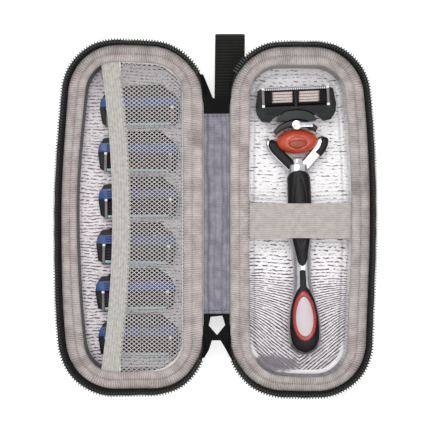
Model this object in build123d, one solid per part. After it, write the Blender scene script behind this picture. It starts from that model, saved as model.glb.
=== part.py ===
"""Razor storage box: a zipped hard case, open and flat, with a razor and six spare cartridges.

Millimetres. X runs across the two halves, Y along the case, Z up from the table.
The razor lies in the right half, and the spare cartridges in the net pocket of the left half.
"""
from build123d import *
import math
import os

# The two half shells
SPINE_GAP = 14.3
HALF_LENGTH = 181.6
CORNER_RADIUS = 28.0
SIDE_BOW = 6.0
END_BOW = 1.2
FLANGE_THICK = 3.0
FLANGE_REACH = 5.3
WALL_LEAN = 2.0
BASE_THICK = 3.6
BASE_ROUND = 7.0
BASE_STEPS = 2
TRAY_INSET = 10.0
TRAY_LEAN = 1.0
TRAY_CORNER = 16.0
SIDE_ROOM = 4.1

# Lining and binding
LINER_THICK = 0.8
BINDING_THICK = 1.6
BINDING_ROUND = 0.7
BINDING_LAP = 0.8

# Zip
TAPE_THICK = 0.9
TAPE_LEAN = 3.2
TAPE_EDGE = 5.9
TAPE_END_TOP = 76.0
TAPE_END_BOTTOM = 74.5
TOOTH_PITCH = 3.4
TOOTH_LENGTH = 1.5
TOOTH_DEPTH = 1.7
TOOTH_MESH = 0.4
SLIDER_WIDTH = 8.0
SLIDER_LENGTH = 9.0
SLIDER_PLATE = 1.2
SLIDER_THROAT = 2.0
BAIL_HEIGHT = 3.0
BAIL_THICK = 1.6
PULL_LENGTH = 13.0
PULL_WIDTH = 5.0
PULL_THICK = 1.2
PIN_RADIUS = 0.6

# Spine and its end webs
SPINE_TOP = 55.1
SPINE_BOTTOM = -51.1
SPINE_THICK = 0.8
SPINE_LINING = 1.1
SPINE_FOLD = 0.35
WEB_TOP = 63.3
WEB_BOTTOM = -65.2

# Hand loop of folded webbing
LOOP_REACH = 4.4
LOOP_ROOT = 62.5
LOOP_SEWN = 8.0
LOOP_THICK = 1.1
LOOP_OPEN = 5.0
LOOP_LEFT = -1.2
LOOP_WIDTH = 15.9
LOOP_ROOT_WIDTH = 13.1

# Strap across the razor
STRAP_WIDTH = 19.2
STRAP_CENTRE = -1.8
STRAP_THICK = 1.0
STRAP_DROP = 0.9

# Net pocket
NET_THICK = 0.6
NET_END = 82.0
EDGE_WIDTH = 9.7
EDGE_THICK = 1.4
EDGE_INSET = 20.55
EDGE_BOW = 6.0
NET_PITCH = 8.4
NET_ROW = 3.7
NET_THREAD = 1.2

# Cartridge, with the blades up and the guard towards -Y
CART_HALF = 21.6
CART_HEIGHT = 5.2
CART_TOP = 5.8
CART_GUARD_EDGE = -9.0
CART_WING = -12.6
WINDOW_LENGTH = 36.6
WINDOW_WIDTH = 8.4
WINDOW_DEPTH = 2.6
BLADE_COUNT = 5
BLADE_PITCH = 1.55
BLADE_WIDTH = 1.35
BLADE_THICK = 0.25
BLADE_TILT = 24.0
CLIP_X = 17.4
CLIP_WIDTH = 1.5
CLIP_THICK = 0.35
STRIP_GAP = 0.15
STRIP_WIDTH = 1.4
STRIP_HEIGHT = 0.8
STRIP_MARGIN = 0.1
GUARD_DEPTH = 2.0
GUARD_RISE = 0.4
GUARD_FINS = 3
HUB_LENGTH = 7.4
HUB_ROOT = 8.5
HUB_TIP = 5.5

# Spare cartridges in the pocket
SPARE_COUNT = 6
SPARE_IN = 2.05
SPARE_FIRST_Y = 55.3
SPARE_PITCH = 24.8
SPARE_SHIFT = (1.2, 0.1, 0.4, -0.9, -1.2, 0.4)
SPARE_TURN = (1.2, -0.8, 0.6, -1.2, 0.8, 0.0)

# Razor: its ball centre, and lengths measured from there
RAZOR_IN = 1.45
RAZOR_Y = 40.8
RAZOR_TURN = 2.3
HANDLE_NECK = -14.0
HANDLE_END = -113.7
HANDLE_HALF = 6.2
HANDLE_SIDES = 12
WAIST = -73.0
WAIST_HALF = 3.3
END_WIDEST = 24.0
END_HALF = 8.1
GRIP_THICK = 0.7
FRONT_GRIP_START = -17.0
FRONT_GRIP_END = -68.0
END_GRIP_START = -78.5
END_GRIP_END = -111.5
RING_HALF = 6.2
RING_START = -80.1
RING_END = -107.3
RING_WALL = 1.5
RING_LIP = 3.5
RING_HEEL = 2.7
BALL_HALF = 11.4
BALL_RADIUS = 6.5
BALL_STEPS = 8
BUTTON_LENGTH = 9.0
BUTTON_WIDTH = 4.4
BUTTON_TRAVEL = 1.2
BUTTON_Y = -1.4
BUTTON_SEAT = 2.0
SWIVEL_OUT = -8.0
SWIVEL_IN = 4.0
YOKE_HALF = 16.4
YOKE_WIDTH = 4.2
YOKE_THICK = 5.0
SWIVEL_HALF = 12.7
LUG_RADIUS = 2.4
LUG_Y = 8.7
RING_TOP = 3.0
RING_LOW = 2.6
RING_REACH = 12.0
RING_START_Y = 4.4
HEAD_Y = 23.1
HEAD_LOW = -1.0
HOOD_HALF = 10.6
HOOD_ROOT = 10.9
HOOD_DEPTH = 5.8

# Working gaps
CLEARANCE = 0.3
SOFT_CLEARANCE = 0.4

PIVOT_X = SPINE_GAP / 2
HALF_WIDTH = 2 * (TRAY_INSET + TRAY_LEAN + LINER_THICK + CART_HALF + SIDE_ROOM)
FLOOR = BASE_THICK + LINER_THICK
RAZOR_Z = FLOOR + CLEARANCE + BALL_RADIUS
STRAP_LOW = RAZOR_Z + HANDLE_HALF + GRIP_THICK + SOFT_CLEARANCE
HALF_HEIGHT = STRAP_LOW + STRAP_THICK + STRAP_DROP + BINDING_THICK
RIM_END = HALF_LENGTH / 2
FLANGE_TOP = HALF_HEIGHT - BINDING_THICK
FLANGE_LOW = FLANGE_TOP - FLANGE_THICK
TAPE_TOP = HALF_HEIGHT + TAPE_EDGE
MID_HEIGHT = HALF_HEIGHT + SPINE_GAP / 2
SPINE_LOW = HALF_HEIGHT - 0.1 - SPINE_LINING - SPINE_THICK
LOOP_END = RIM_END + TAPE_LEAN + LOOP_REACH
SPARE_X = SPARE_IN - PIVOT_X - HALF_WIDTH / 2
RAZOR_X = PIVOT_X + HALF_WIDTH / 2 - RAZOR_IN
EDGE_END_X = EDGE_INSET - PIVOT_X - HALF_WIDTH
STRIP_LENGTH = 2 * (CLIP_X - CLIP_WIDTH / 2 - STRIP_GAP)
TOOTH_REACH = TAPE_LEAN - TAPE_THICK / 2 + TOOTH_DEPTH / 2
CASE_SHIFT = (RIM_END + TOOTH_REACH - LOOP_END) / 2


def rim_blank():
    """Bowed four-sided outline of the right half, before its corners are rounded."""
    inner = PIVOT_X
    outer = PIVOT_X + HALF_WIDTH
    corner = outer - SIDE_BOW
    end = RIM_END - END_BOW
    middle = (inner + corner) / 2
    sides = [
        Line((inner, -end), (inner, end)),
        ThreePointArc((inner, end), (middle, RIM_END), (corner, end)),
        ThreePointArc((corner, end), (outer, 0), (corner, -end)),
        ThreePointArc((corner, -end), (middle, -RIM_END), (inner, -end)),
    ]
    return make_face(sides)


def rim(inset=0.0, height=0.0):
    """Outline of the right half's rim, moved in by inset, as a face at a height."""
    blank = rim_blank()
    face = fillet(blank.vertices(), CORNER_RADIUS)
    if inset:
        face = offset(face, amount=-inset)
    return Pos(0, 0, height) * face


def tray_outline(inset, height):
    """Outline of the tray, whose corners are tighter than the rim's, as a face at a height."""
    blank = offset(rim_blank(), amount=-inset, kind=Kind.INTERSECTION)
    face = fillet(blank.vertices(), TRAY_CORNER + TRAY_INSET - inset)
    return Pos(0, 0, height) * face


def tapered(low_inset, low, high_inset, high):
    """Solid between two rim outlines at two heights."""
    return loft([rim(low_inset, low), rim(high_inset, high)], ruled=True)


def slab(x_from, x_to, y_from, y_to, z_from, z_to):
    """Plain block between two corners."""
    centre = Pos((x_from + x_to) / 2, (y_from + y_to) / 2, (z_from + z_to) / 2)
    return centre * Box(x_to - x_from, y_to - y_from, z_to - z_from)


def tray_room(extra):
    """Hollow of the tray, smaller by extra all round, up to the top of the flange."""
    floor = tray_outline(TRAY_INSET + TRAY_LEAN + extra, BASE_THICK + extra)
    mouth = tray_outline(TRAY_INSET + extra, FLANGE_TOP)
    return loft([floor, mouth], ruled=True)


def outer_shell():
    """Moulded foam shell with its sewing flange and a rounded base."""
    foot = FLANGE_REACH + WALL_LEAN
    sections = []
    for step in range(BASE_STEPS + 1):
        bend = math.radians(90 * step / BASE_STEPS)
        inset = foot + BASE_ROUND * (1 - math.sin(bend))
        sections.append(rim(inset, BASE_ROUND * (1 - math.cos(bend))))
    sections.append(rim(FLANGE_REACH, FLANGE_LOW))
    wall = loft(sections, ruled=True)
    flange = extrude(rim(0, FLANGE_LOW), FLANGE_THICK)
    return wall + flange - tray_room(0)


def foil_liner():
    """Thin silver tray that lines the foam."""
    return tray_room(0) - tray_room(LINER_THICK)


def spine_side(reach):
    """Block over the straight side at the spine, where no zip tape is sewn."""
    return slab(0, PIVOT_X + reach, -TAPE_END_BOTTOM, TAPE_END_TOP, 0, 3 * HALF_HEIGHT)


def binding():
    """Soft grey band sewn round the rim, over the edges of the liner and of the tape."""
    outer = extrude(rim(TAPE_THICK, FLANGE_TOP), BINDING_THICK)
    outer = chamfer(outer.edges().group_by(Axis.Z)[-1], BINDING_ROUND)
    bare = extrude(rim(0, FLANGE_TOP), BINDING_THICK - BINDING_ROUND) & spine_side(CORNER_RADIUS / 4)
    hollow = extrude(tray_outline(TRAY_INSET + BINDING_LAP, FLANGE_TOP), BINDING_THICK)
    return outer + bare - hollow


def zip_tape():
    """Woven tape that stands up from the rim and leans out, on three sides."""
    outer = tapered(0, FLANGE_TOP, -TAPE_LEAN, TAPE_TOP)
    inner = tapered(TAPE_THICK, FLANGE_TOP, TAPE_THICK - TAPE_LEAN, TAPE_TOP)
    return outer - inner - spine_side(CORNER_RADIUS / 4)


def zip_teeth(phase):
    """Row of teeth on the edge of the tape, set along it by phase of a pitch."""
    path = rim(TAPE_THICK / 2 - TAPE_LEAN).faces()[0].outer_wire()
    count = round(path.length / TOOTH_PITCH)
    height = MID_HEIGHT + TOOTH_MESH - TAPE_TOP
    side = PIVOT_X + CORNER_RADIUS / 4
    teeth = []
    for index in range(count):
        share = (index + phase) / count
        spot = path.position_at(share)
        along = path.tangent_at(share)
        if spot.X < side and -TAPE_END_BOTTOM - TOOTH_PITCH < spot.Y < TAPE_END_TOP + TOOTH_PITCH:
            continue
        turn = math.degrees(math.atan2(along.Y, along.X))
        tooth = Box(TOOTH_LENGTH, TOOTH_DEPTH, height)
        teeth.append(Pos(spot.X, spot.Y, TAPE_TOP + height / 2) * Rot(0, 0, turn) * tooth)
    return Compound(teeth)


def spine_fabric():
    """Black outer fabric of the spine."""
    edge = PIVOT_X - CLEARANCE
    return slab(-edge, edge, SPINE_BOTTOM, SPINE_TOP, SPINE_LOW, SPINE_LOW + SPINE_THICK)


def spine_lining():
    """Padded lining of the spine, with its soft lengthwise folds."""
    edge = PIVOT_X - CLEARANCE
    low = SPINE_LOW + SPINE_THICK
    top = low + SPINE_LINING
    dip = top - SPINE_FOLD
    valley = edge * 0.55
    section = make_face([
        Line((-edge, low), (edge, low)),
        Line((edge, low), (edge, dip)),
        ThreePointArc((edge, dip), ((edge + valley) / 2, top - SPINE_FOLD / 2), (valley, dip)),
        ThreePointArc((valley, dip), (0, top), (-valley, dip)),
        ThreePointArc((-valley, dip), (-(edge + valley) / 2, top - SPINE_FOLD / 2), (-edge, dip)),
        Line((-edge, dip), (-edge, low)),
    ])
    placed = Plane(origin=(0, SPINE_BOTTOM, 0), x_dir=(1, 0, 0), z_dir=(0, -1, 0)) * section
    return extrude(placed, SPINE_BOTTOM - SPINE_TOP)


def web(points):
    """Fabric web between the two rims, kept clear of both."""
    thick = SPINE_THICK + SPINE_LINING
    blank = extrude(Pos(0, 0, SPINE_LOW) * make_face(Polyline(*points, close=True)), thick)
    right = extrude(rim(-SOFT_CLEARANCE, 0), HALF_HEIGHT)
    return blank - right - mirror(right, Plane.YZ)


def top_web():
    """Web at the top of the spine, with the horn where the left tape peels off its rim."""
    edge = PIVOT_X - CLEARANCE
    return web([
        (-edge, SPINE_TOP), (edge, SPINE_TOP), (edge, WEB_TOP), (-2.0, WEB_TOP),
        (-7.2, TAPE_END_TOP), (-PIVOT_X - 4, TAPE_END_TOP), (-edge, WEB_TOP),
    ])


def bottom_web():
    """Web at the bottom of the spine, with its five-sided hole and two horns."""
    edge = PIVOT_X - CLEARANCE
    plate = web([
        (-edge, SPINE_BOTTOM), (-edge, WEB_BOTTOM), (-PIVOT_X - 4, -TAPE_END_BOTTOM),
        (-6.6, -TAPE_END_BOTTOM), (-4.1, -70.2), (-2.5, WEB_BOTTOM), (2.0, WEB_BOTTOM), (5.0, -70.2),
        (7.2, -TAPE_END_BOTTOM), (PIVOT_X + 4, -TAPE_END_BOTTOM), (edge, WEB_BOTTOM), (edge, SPINE_BOTTOM),
    ])
    hole = make_face(Polyline((-3.2, -52.7), (3.0, -52.1), (4.5, -57.1), (0.2, -62.4), (-4.2, -57.4),
                              close=True))
    return plate - extrude(hole, HALF_HEIGHT)


def slider_spot():
    """Where the middle of the slider's upper plate meets the web."""
    return Pos(0, SPINE_TOP + 1.6, SPINE_LOW)


def pin_height():
    """Height of the pull tab's pin below the web."""
    return -(2 * SLIDER_PLATE + SLIDER_THROAT + BAIL_HEIGHT / 2)


def zip_slider():
    """Slider body: two plates on a wedge, with the bail that holds the pull tab."""
    depth = 2 * SLIDER_PLATE + SLIDER_THROAT
    plan = make_face(Polyline((-SLIDER_WIDTH / 2, SLIDER_LENGTH / 2), (SLIDER_WIDTH / 2, SLIDER_LENGTH / 2),
                              (SLIDER_WIDTH / 2, 0), (SLIDER_WIDTH / 3, -SLIDER_LENGTH / 2),
                              (-SLIDER_WIDTH / 3, -SLIDER_LENGTH / 2), (-SLIDER_WIDTH / 2, 0), close=True))
    body = extrude(Pos(0, 0, -depth) * plan, depth)
    throat = slab(-SLIDER_WIDTH, SLIDER_WIDTH, -SLIDER_LENGTH, SLIDER_LENGTH,
                  -SLIDER_PLATE - SLIDER_THROAT, -SLIDER_PLATE)
    wedge = slab(-SLIDER_WIDTH / 6, SLIDER_WIDTH / 6, 0, SLIDER_LENGTH / 2, -depth, 0)
    bail = slab(-BAIL_THICK / 2, BAIL_THICK / 2, -BAIL_HEIGHT, BAIL_HEIGHT, -depth - BAIL_HEIGHT, -depth)
    bail = fillet(bail.edges().filter_by(Axis.X).group_by(Axis.Z)[0], BAIL_HEIGHT / 3)
    bore = Pos(0, 0, pin_height()) * Rot(0, 90, 0) * Cylinder(PIN_RADIUS + CLEARANCE, SLIDER_WIDTH)
    return slider_spot() * (body - throat + wedge + bail - bore)


def zip_pull():
    """Pull tab, hanging from the slider's bail, in which its pin turns."""
    window = BAIL_HEIGHT + 2 * CLEARANCE
    tab = slab(-PULL_WIDTH / 2, PULL_WIDTH / 2, -PULL_LENGTH, 1.2, -PULL_THICK / 2, PULL_THICK / 2)
    tab -= slab(-BAIL_THICK / 2 - CLEARANCE, BAIL_THICK / 2 + CLEARANCE, -window - 0.6, 3,
                -PULL_THICK, PULL_THICK)
    tab = fillet(tab.edges().filter_by(Axis.Z).group_by(Axis.Y)[0], 1.5)
    grip = Pos(0, -PULL_LENGTH + 3, 0) * Cylinder(1.1, 2 * PULL_THICK)
    pin = Rot(0, 90, 0) * Cylinder(PIN_RADIUS, PULL_WIDTH - 0.2)
    return slider_spot() * Pos(0, 0, pin_height()) * Rot(90, 0, 0) * (tab - grip + pin)


def hand_loop():
    """Webbing folded into a loop, sewn under the flange at the spine's top corner."""
    top = FLANGE_LOW
    root = top - 2 * LOOP_THICK
    low = top - 2 * LOOP_THICK - LOOP_OPEN
    sewn = LOOP_ROOT + LOOP_SEWN
    spread = sewn + 1.6 * LOOP_OPEN
    round_out = (top - low) / 2
    outer = make_face(Polyline((LOOP_ROOT, top), (LOOP_END, top), (LOOP_END, low), (spread, low),
                               (sewn, root), (LOOP_ROOT, root), close=True))
    outer = fillet(outer.vertices().group_by(Axis.X)[-1], round_out - 0.05)
    inner = make_face(Polyline((sewn + 1.0, top - LOOP_THICK), (LOOP_END - LOOP_THICK, top - LOOP_THICK),
                               (LOOP_END - LOOP_THICK, low + LOOP_THICK),
                               (spread + 0.5, low + LOOP_THICK), close=True))
    inner = fillet(inner.vertices().group_by(Axis.X)[-1], round_out - LOOP_THICK - 0.05)
    side = Plane(origin=(0, 0, 0), x_dir=(0, 1, 0), z_dir=(1, 0, 0)) * (outer - inner)
    solid = Pos(LOOP_LEFT - 2, 0, 0) * extrude(side, LOOP_WIDTH + 4)
    right = LOOP_LEFT + LOOP_WIDTH
    narrow = LOOP_LEFT + LOOP_ROOT_WIDTH
    plan = make_face(Polyline((LOOP_LEFT - 0.4, LOOP_ROOT), (narrow, LOOP_ROOT), (narrow, LOOP_ROOT + 3),
                              (right, LOOP_ROOT + 13), (right + 0.4, LOOP_END), (LOOP_LEFT + 0.4, LOOP_END),
                              close=True))
    return solid & extrude(plan, HALF_HEIGHT)


def holding_strap():
    """Elastic band across the right tray, over the razor's handle."""
    band = slab(0, PIVOT_X + HALF_WIDTH, STRAP_CENTRE - STRAP_WIDTH / 2, STRAP_CENTRE + STRAP_WIDTH / 2,
                STRAP_LOW, STRAP_LOW + STRAP_THICK)
    return band & tray_room(LINER_THICK)


def edge_line(shift):
    """Arc of the pocket's free edge, moved towards the spine by shift."""
    end_x = EDGE_END_X + shift
    return ThreePointArc((end_x, NET_END), (end_x + EDGE_BOW, 0), (end_x, -NET_END))


def band_plan(line_from, line_to):
    """Face between two lines that run from the top of the pocket to its bottom."""
    ends = [Line(line_from @ 0, line_to @ 0), Line(line_from @ 1, line_to @ 1)]
    return make_face([line_from, line_to, *ends])


def left_tray_room():
    """Clear room of the left tray."""
    return mirror(tray_room(LINER_THICK), Plane.YZ)


def pocket_edge():
    """Elastic band along the pocket's free edge."""
    top = FLANGE_TOP - 0.2
    plan = band_plan(edge_line(0), edge_line(EDGE_WIDTH))
    return extrude(Pos(0, 0, top - EDGE_THICK) * plan, EDGE_THICK) & left_tray_room()


def pocket_net():
    """Flat net from the elastic band to the rim at the spine, with its staggered diamond gaps."""
    top = FLANGE_TOP - 0.2 - (EDGE_THICK - NET_THICK) / 2
    side_x = -PIVOT_X - TRAY_INSET
    side = Line((side_x, NET_END), (side_x, -NET_END))
    plan = band_plan(edge_line(EDGE_WIDTH), side)
    sheet = extrude(Pos(0, 0, top - NET_THICK) * plan, NET_THICK) & left_tray_room()
    half_long = (NET_PITCH - NET_THREAD) / 2
    half_short = NET_ROW - NET_THREAD / 2
    columns = int((abs(EDGE_END_X) - PIVOT_X - TRAY_INSET) / NET_PITCH) + 1
    rows = int(NET_END / NET_ROW)
    gaps = []
    for row in range(-rows, rows + 1):
        y = row * NET_ROW
        bow = EDGE_BOW * (1 - (y / NET_END) ** 2)
        left = EDGE_END_X + EDGE_WIDTH + bow + NET_THREAD
        for column in range(columns):
            x = side_x - LINER_THICK - NET_THREAD - NET_PITCH * (column + 0.5 + 0.5 * (row % 2))
            if x - half_long < left or abs(y) > RIM_END - TRAY_INSET - LINER_THICK - 2 * NET_ROW:
                continue
            gap = make_face(Polyline((x - half_long, y), (x, y + half_short), (x + half_long, y),
                                     (x, y - half_short), close=True))
            gaps.append(gap)
    cutter = extrude(Pos(0, 0, top - 2 * NET_THICK) * Sketch(children=gaps), 3 * NET_THICK)
    return sheet - cutter


def cart_outline():
    """Plan of a cartridge frame, with the two wings beside its hub."""
    wing_in = CART_HALF / 2
    right = [
        (0, CART_TOP), (CART_HALF - 3.6, CART_TOP), (CART_HALF - 1.3, CART_TOP - 1.4), (CART_HALF, -4.0),
        (CART_HALF - 0.6, -8.0), (CART_HALF - 3.1, CART_WING + 0.7), (CART_HALF - 7.1, CART_WING),
        (wing_in, CART_GUARD_EDGE), (0, CART_GUARD_EDGE),
    ]
    left = [(-x, y) for x, y in reversed(right[1:-1])]
    return make_face(Polyline(*right, *left, close=True))


def guard_zone(low, high):
    """Part of the cartridge's plan on the guard side, between two heights."""
    block = slab(-CART_HALF, CART_HALF, CART_WING, -WINDOW_WIDTH / 2 - 0.4, low, high)
    return extrude(Pos(0, 0, low) * cart_outline(), high - low) & block


def hood_plan(extra):
    """Plan of the head's arched hood, larger by extra, in the razor's own frame."""
    arch = Pos(0, HOOD_ROOT) * Ellipse(HOOD_HALF + extra, HOOD_DEPTH + extra)
    return arch & (Pos(0, HOOD_ROOT + HOOD_DEPTH) * Rectangle(4 * HOOD_HALF, 2 * HOOD_DEPTH + 2 * extra))


def hood_notch():
    """Cut in a mounted cartridge that clears the hood, in the cartridge's own frame."""
    return extrude(Pos(0, -HEAD_Y, -CART_HEIGHT) * hood_plan(SOFT_CLEARANCE), 3 * CART_HEIGHT)


def cart_frame(with_hub):
    """Moulded frame with the blade window, the centre rib and, on a spare, the open hub."""
    frame = extrude(cart_outline(), CART_HEIGHT)
    frame = chamfer(frame.edges().group_by(Axis.Z)[0], 0.8)
    frame -= slab(-WINDOW_LENGTH / 2, WINDOW_LENGTH / 2, -WINDOW_WIDTH / 2, WINDOW_WIDTH / 2,
                  CART_HEIGHT - WINDOW_DEPTH, CART_HEIGHT)
    frame += slab(-0.6, 0.6, -WINDOW_WIDTH / 2, WINDOW_WIDTH / 2, CART_HEIGHT - 0.5, CART_HEIGHT)
    frame -= guard_zone(CART_HEIGHT - GUARD_DEPTH, CART_HEIGHT)
    frame -= slab(-STRIP_LENGTH / 2, STRIP_LENGTH / 2, CART_TOP - STRIP_MARGIN - STRIP_WIDTH, CART_TOP - STRIP_MARGIN,
                  CART_HEIGHT - STRIP_HEIGHT / 2, CART_HEIGHT)
    if with_hub:
        tip = CART_GUARD_EDGE - HUB_LENGTH
        plan = make_face(Polyline((-HUB_ROOT, CART_GUARD_EDGE), (HUB_ROOT, CART_GUARD_EDGE),
                                  (HUB_TIP, tip), (-HUB_TIP, tip), close=True))
        hub = extrude(plan, CART_HEIGHT - GUARD_DEPTH)
        slot = slab(-HUB_TIP + 1.6, HUB_TIP - 1.6, tip, tip + 4.5, 0.8, CART_HEIGHT)
        frame += hub - slot
    else:
        frame -= hood_notch()
    return frame


def cart_blades():
    """Five tilted blades and the two metal clips that hold them."""
    seat = CART_HEIGHT - WINDOW_DEPTH
    parts = []
    for index in range(BLADE_COUNT):
        y = (index - (BLADE_COUNT - 1) / 2) * BLADE_PITCH
        blade = Rot(BLADE_TILT, 0, 0) * Box(WINDOW_LENGTH - 0.4, BLADE_WIDTH, BLADE_THICK)
        parts.append(Pos(0, y, seat + 1.0) * blade)
    for x in (-CLIP_X, CLIP_X):
        strap = slab(x - CLIP_WIDTH / 2, x + CLIP_WIDTH / 2, -WINDOW_WIDTH / 2 - 0.3,
                     CART_TOP + CLIP_THICK, CART_HEIGHT, CART_HEIGHT + CLIP_THICK)
        hook = slab(x - CLIP_WIDTH / 2, x + CLIP_WIDTH / 2, CART_TOP, CART_TOP + CLIP_THICK,
                    CART_HEIGHT - 2.4, CART_HEIGHT + CLIP_THICK)
        parts.append(strap + hook)
    return Compound(parts)


def cart_guard():
    """Soft guard in front of the blades, with its fine fins."""
    top = CART_HEIGHT + GUARD_RISE
    guard = guard_zone(CART_HEIGHT - GUARD_DEPTH, top)
    pitch = (WINDOW_WIDTH / 2 + CART_GUARD_EDGE) / (GUARD_FINS + 1)
    for index in range(GUARD_FINS):
        y = CART_GUARD_EDGE - (index + 1) * pitch - 0.4
        guard -= slab(-STRIP_LENGTH / 2, STRIP_LENGTH / 2, y - 0.2, y + 0.2, top - 0.5, top)
    return guard


def cart_strip():
    """Lubricating strip behind the blades."""
    centre_y = CART_TOP - STRIP_MARGIN - STRIP_WIDTH / 2
    strip = Pos(0, centre_y, CART_HEIGHT) * Box(STRIP_LENGTH, STRIP_WIDTH, STRIP_HEIGHT)
    return chamfer(strip.edges().filter_by(Axis.X).group_by(Axis.Z)[-1], 0.25)


def spare_place(index):
    """Place of one spare cartridge, turned so that its hub points to the top of the case."""
    spot = Pos(SPARE_X + SPARE_SHIFT[index], SPARE_FIRST_Y - index * SPARE_PITCH, FLOOR + CLEARANCE)
    return spot * Rot(0, 0, 180 + SPARE_TURN[index])


def razor_place():
    """Place of the razor's ball centre in the right tray."""
    return Pos(RAZOR_X, RAZOR_Y, RAZOR_Z) * Rot(0, 0, RAZOR_TURN)


def oval_points(half_width, half_height, count):
    """Corners of an oval with a flat at each quarter, counted round it."""
    turns = [2 * math.pi * (index + 0.5) / count for index in range(count)]
    return [(half_width * math.cos(turn), half_height * math.sin(turn)) for turn in turns]


def handle_loft(extra):
    """Handle as ovals along its length, each wider and higher by extra."""
    front = HANDLE_NECK - WAIST
    rear = WAIST - HANDLE_END
    stations = (
        (HANDLE_NECK, 0.87 * HANDLE_HALF, 0.68 * HANDLE_HALF),
        (HANDLE_NECK - 0.17 * front, 0.98 * HANDLE_HALF, 0.9 * HANDLE_HALF),
        (HANDLE_NECK - 0.47 * front, 0.9 * HANDLE_HALF, HANDLE_HALF),
        (HANDLE_NECK - 0.78 * front, 0.68 * HANDLE_HALF, 0.87 * HANDLE_HALF),
        (WAIST, WAIST_HALF, 1.33 * WAIST_HALF),
        (WAIST - 0.27 * rear, 0.64 * END_HALF, 0.6 * END_HALF),
        (WAIST - 0.59 * rear, 0.94 * END_HALF, 0.69 * END_HALF),
        (WAIST - 0.81 * rear, END_HALF, 0.67 * END_HALF),
        (HANDLE_END, 0.57 * END_HALF, 0.35 * END_HALF),
    )
    rings = []
    for y, half_width, half_height in stations:
        plane = Plane(origin=(0, y, 0), x_dir=(1, 0, 0), z_dir=(0, -1, 0))
        corners = oval_points(half_width + extra, half_height + extra, HANDLE_SIDES)
        rings.append(plane * make_face(Polyline(*corners, close=True)))
    return loft(rings, ruled=True)


def handle_core():
    """Metal body of the handle, from the yoke to the round end."""
    return handle_loft(0)


def grip_pad(start, end, start_half, widest, widest_half, end_half):
    """Rubber skin on the upper side of the handle, between two places along it."""
    right = ThreePointArc((start_half, start), (widest_half, widest), (end_half, end))
    left = ThreePointArc((-start_half, start), (-widest_half, widest), (-end_half, end))
    plan = make_face([right, left, Line(right @ 0, left @ 0), Line(right @ 1, left @ 1)])
    upper = extrude(Pos(0, 0, GRIP_THICK) * plan, 2 * HANDLE_HALF)
    return (handle_loft(GRIP_THICK) & upper) - handle_core()


def front_grip():
    """Long rubber grip under the strap, drawn to a point at the waist."""
    middle = (FRONT_GRIP_START + FRONT_GRIP_END) / 2
    return grip_pad(FRONT_GRIP_START, FRONT_GRIP_END, 0.87 * HANDLE_HALF, middle, 0.77 * HANDLE_HALF,
                    0.3 * WAIST_HALF)


def end_oval(half_width, y_from, y_to):
    """Oval outline on the handle's end."""
    corners = oval_points(half_width, (y_from - y_to) / 2, HANDLE_SIDES)
    return Pos(0, (y_from + y_to) / 2, 0) * make_face(Polyline(*corners, close=True))


def end_grip():
    """Rubber drop on the handle's end, round the ring."""
    widest = (RING_START + 3 * RING_END) / 4
    pad = grip_pad(END_GRIP_START, END_GRIP_END, 0.3 * WAIST_HALF, widest, 0.88 * END_HALF,
                   0.45 * END_HALF)
    return pad - extrude(end_oval(RING_HALF, RING_START, RING_END), 2 * HANDLE_HALF)


def end_ring():
    """Coloured ring set into the rubber drop."""
    outer = extrude(end_oval(RING_HALF, RING_START, RING_END), 2 * HANDLE_HALF)
    return (handle_loft(GRIP_THICK) & outer) - inlay_column() - handle_core()


def inlay_column():
    """Upright column over the inlay's oval."""
    plan = end_oval(RING_HALF - RING_WALL, RING_START - RING_LIP, RING_END + RING_HEEL)
    return extrude(plan, 2 * HANDLE_HALF)


def end_inlay():
    """Smooth thumb inlay inside the ring."""
    return (handle_loft(GRIP_THICK) & inlay_column()) - handle_core()


def yoke():
    """Forked neck: a collar on the handle and two arms that carry the ball."""
    tip = YOKE_HALF - YOKE_WIDTH / 2
    arms = []
    for side in (-1, 1):
        plan = make_face(Polyline((side * 1.2, HANDLE_NECK - 1.2), (side * 5.6, HANDLE_NECK - 1.2),
                                  (side * YOKE_HALF, -1.2), (side * YOKE_HALF, 2.2), (side * tip, 3.4),
                                  (side * (tip - 1.2), -0.4), (side * 1.2, HANDLE_NECK + 5.6), close=True))
        arms.append(extrude(Pos(0, 0, -YOKE_THICK / 2) * plan, YOKE_THICK))
    fork = arms[0] + arms[1]
    fork += slab(-3, 3, HANDLE_NECK - 1.2, HANDLE_NECK + 4.4, -YOKE_THICK / 2, YOKE_THICK / 2)
    axle = Rot(0, 90, 0) * Cylinder(1.5, 2 * YOKE_HALF - 2)
    fork += axle
    ball_room = ball_blank(CLEARANCE)
    return fork - ball_room - handle_core()


def ball_blank(extra):
    """Oval ball on its long axis X, larger by extra, as ruled bands between flat-sided rings."""
    rings = []
    for step in range(BALL_STEPS):
        turn = math.pi * (step + 0.5) / BALL_STEPS
        radius = (BALL_RADIUS + extra) * math.sin(turn)
        plane = Plane(origin=((BALL_HALF + extra) * math.cos(turn), 0, 0), x_dir=(0, 1, 0), z_dir=(1, 0, 0))
        rings.append(plane * make_face(Polyline(*oval_points(radius, radius, HANDLE_SIDES), close=True)))
    return loft(rings, ruled=True)


def button_plan(extra):
    """Oval plan of the release button, larger by extra all round."""
    corners = oval_points(BUTTON_LENGTH / 2 + extra, BUTTON_WIDTH / 2 + extra, HANDLE_SIDES)
    return make_face(Polyline(*corners, close=True))


def razor_ball():
    """Coloured ball in the yoke, with the recess that the button slides in."""
    back = BUTTON_Y - BUTTON_WIDTH / 2 - CLEARANCE
    front = BUTTON_Y + BUTTON_TRAVEL + BUTTON_WIDTH / 2 + CLEARANCE
    corners = oval_points(BUTTON_LENGTH / 2 + 2 * CLEARANCE, (front - back) / 2, HANDLE_SIDES)
    plan = Pos(0, (front + back) / 2, BALL_RADIUS - BUTTON_SEAT) * make_face(Polyline(*corners, close=True))
    return ball_blank(0) - extrude(plan, BALL_RADIUS)


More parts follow.
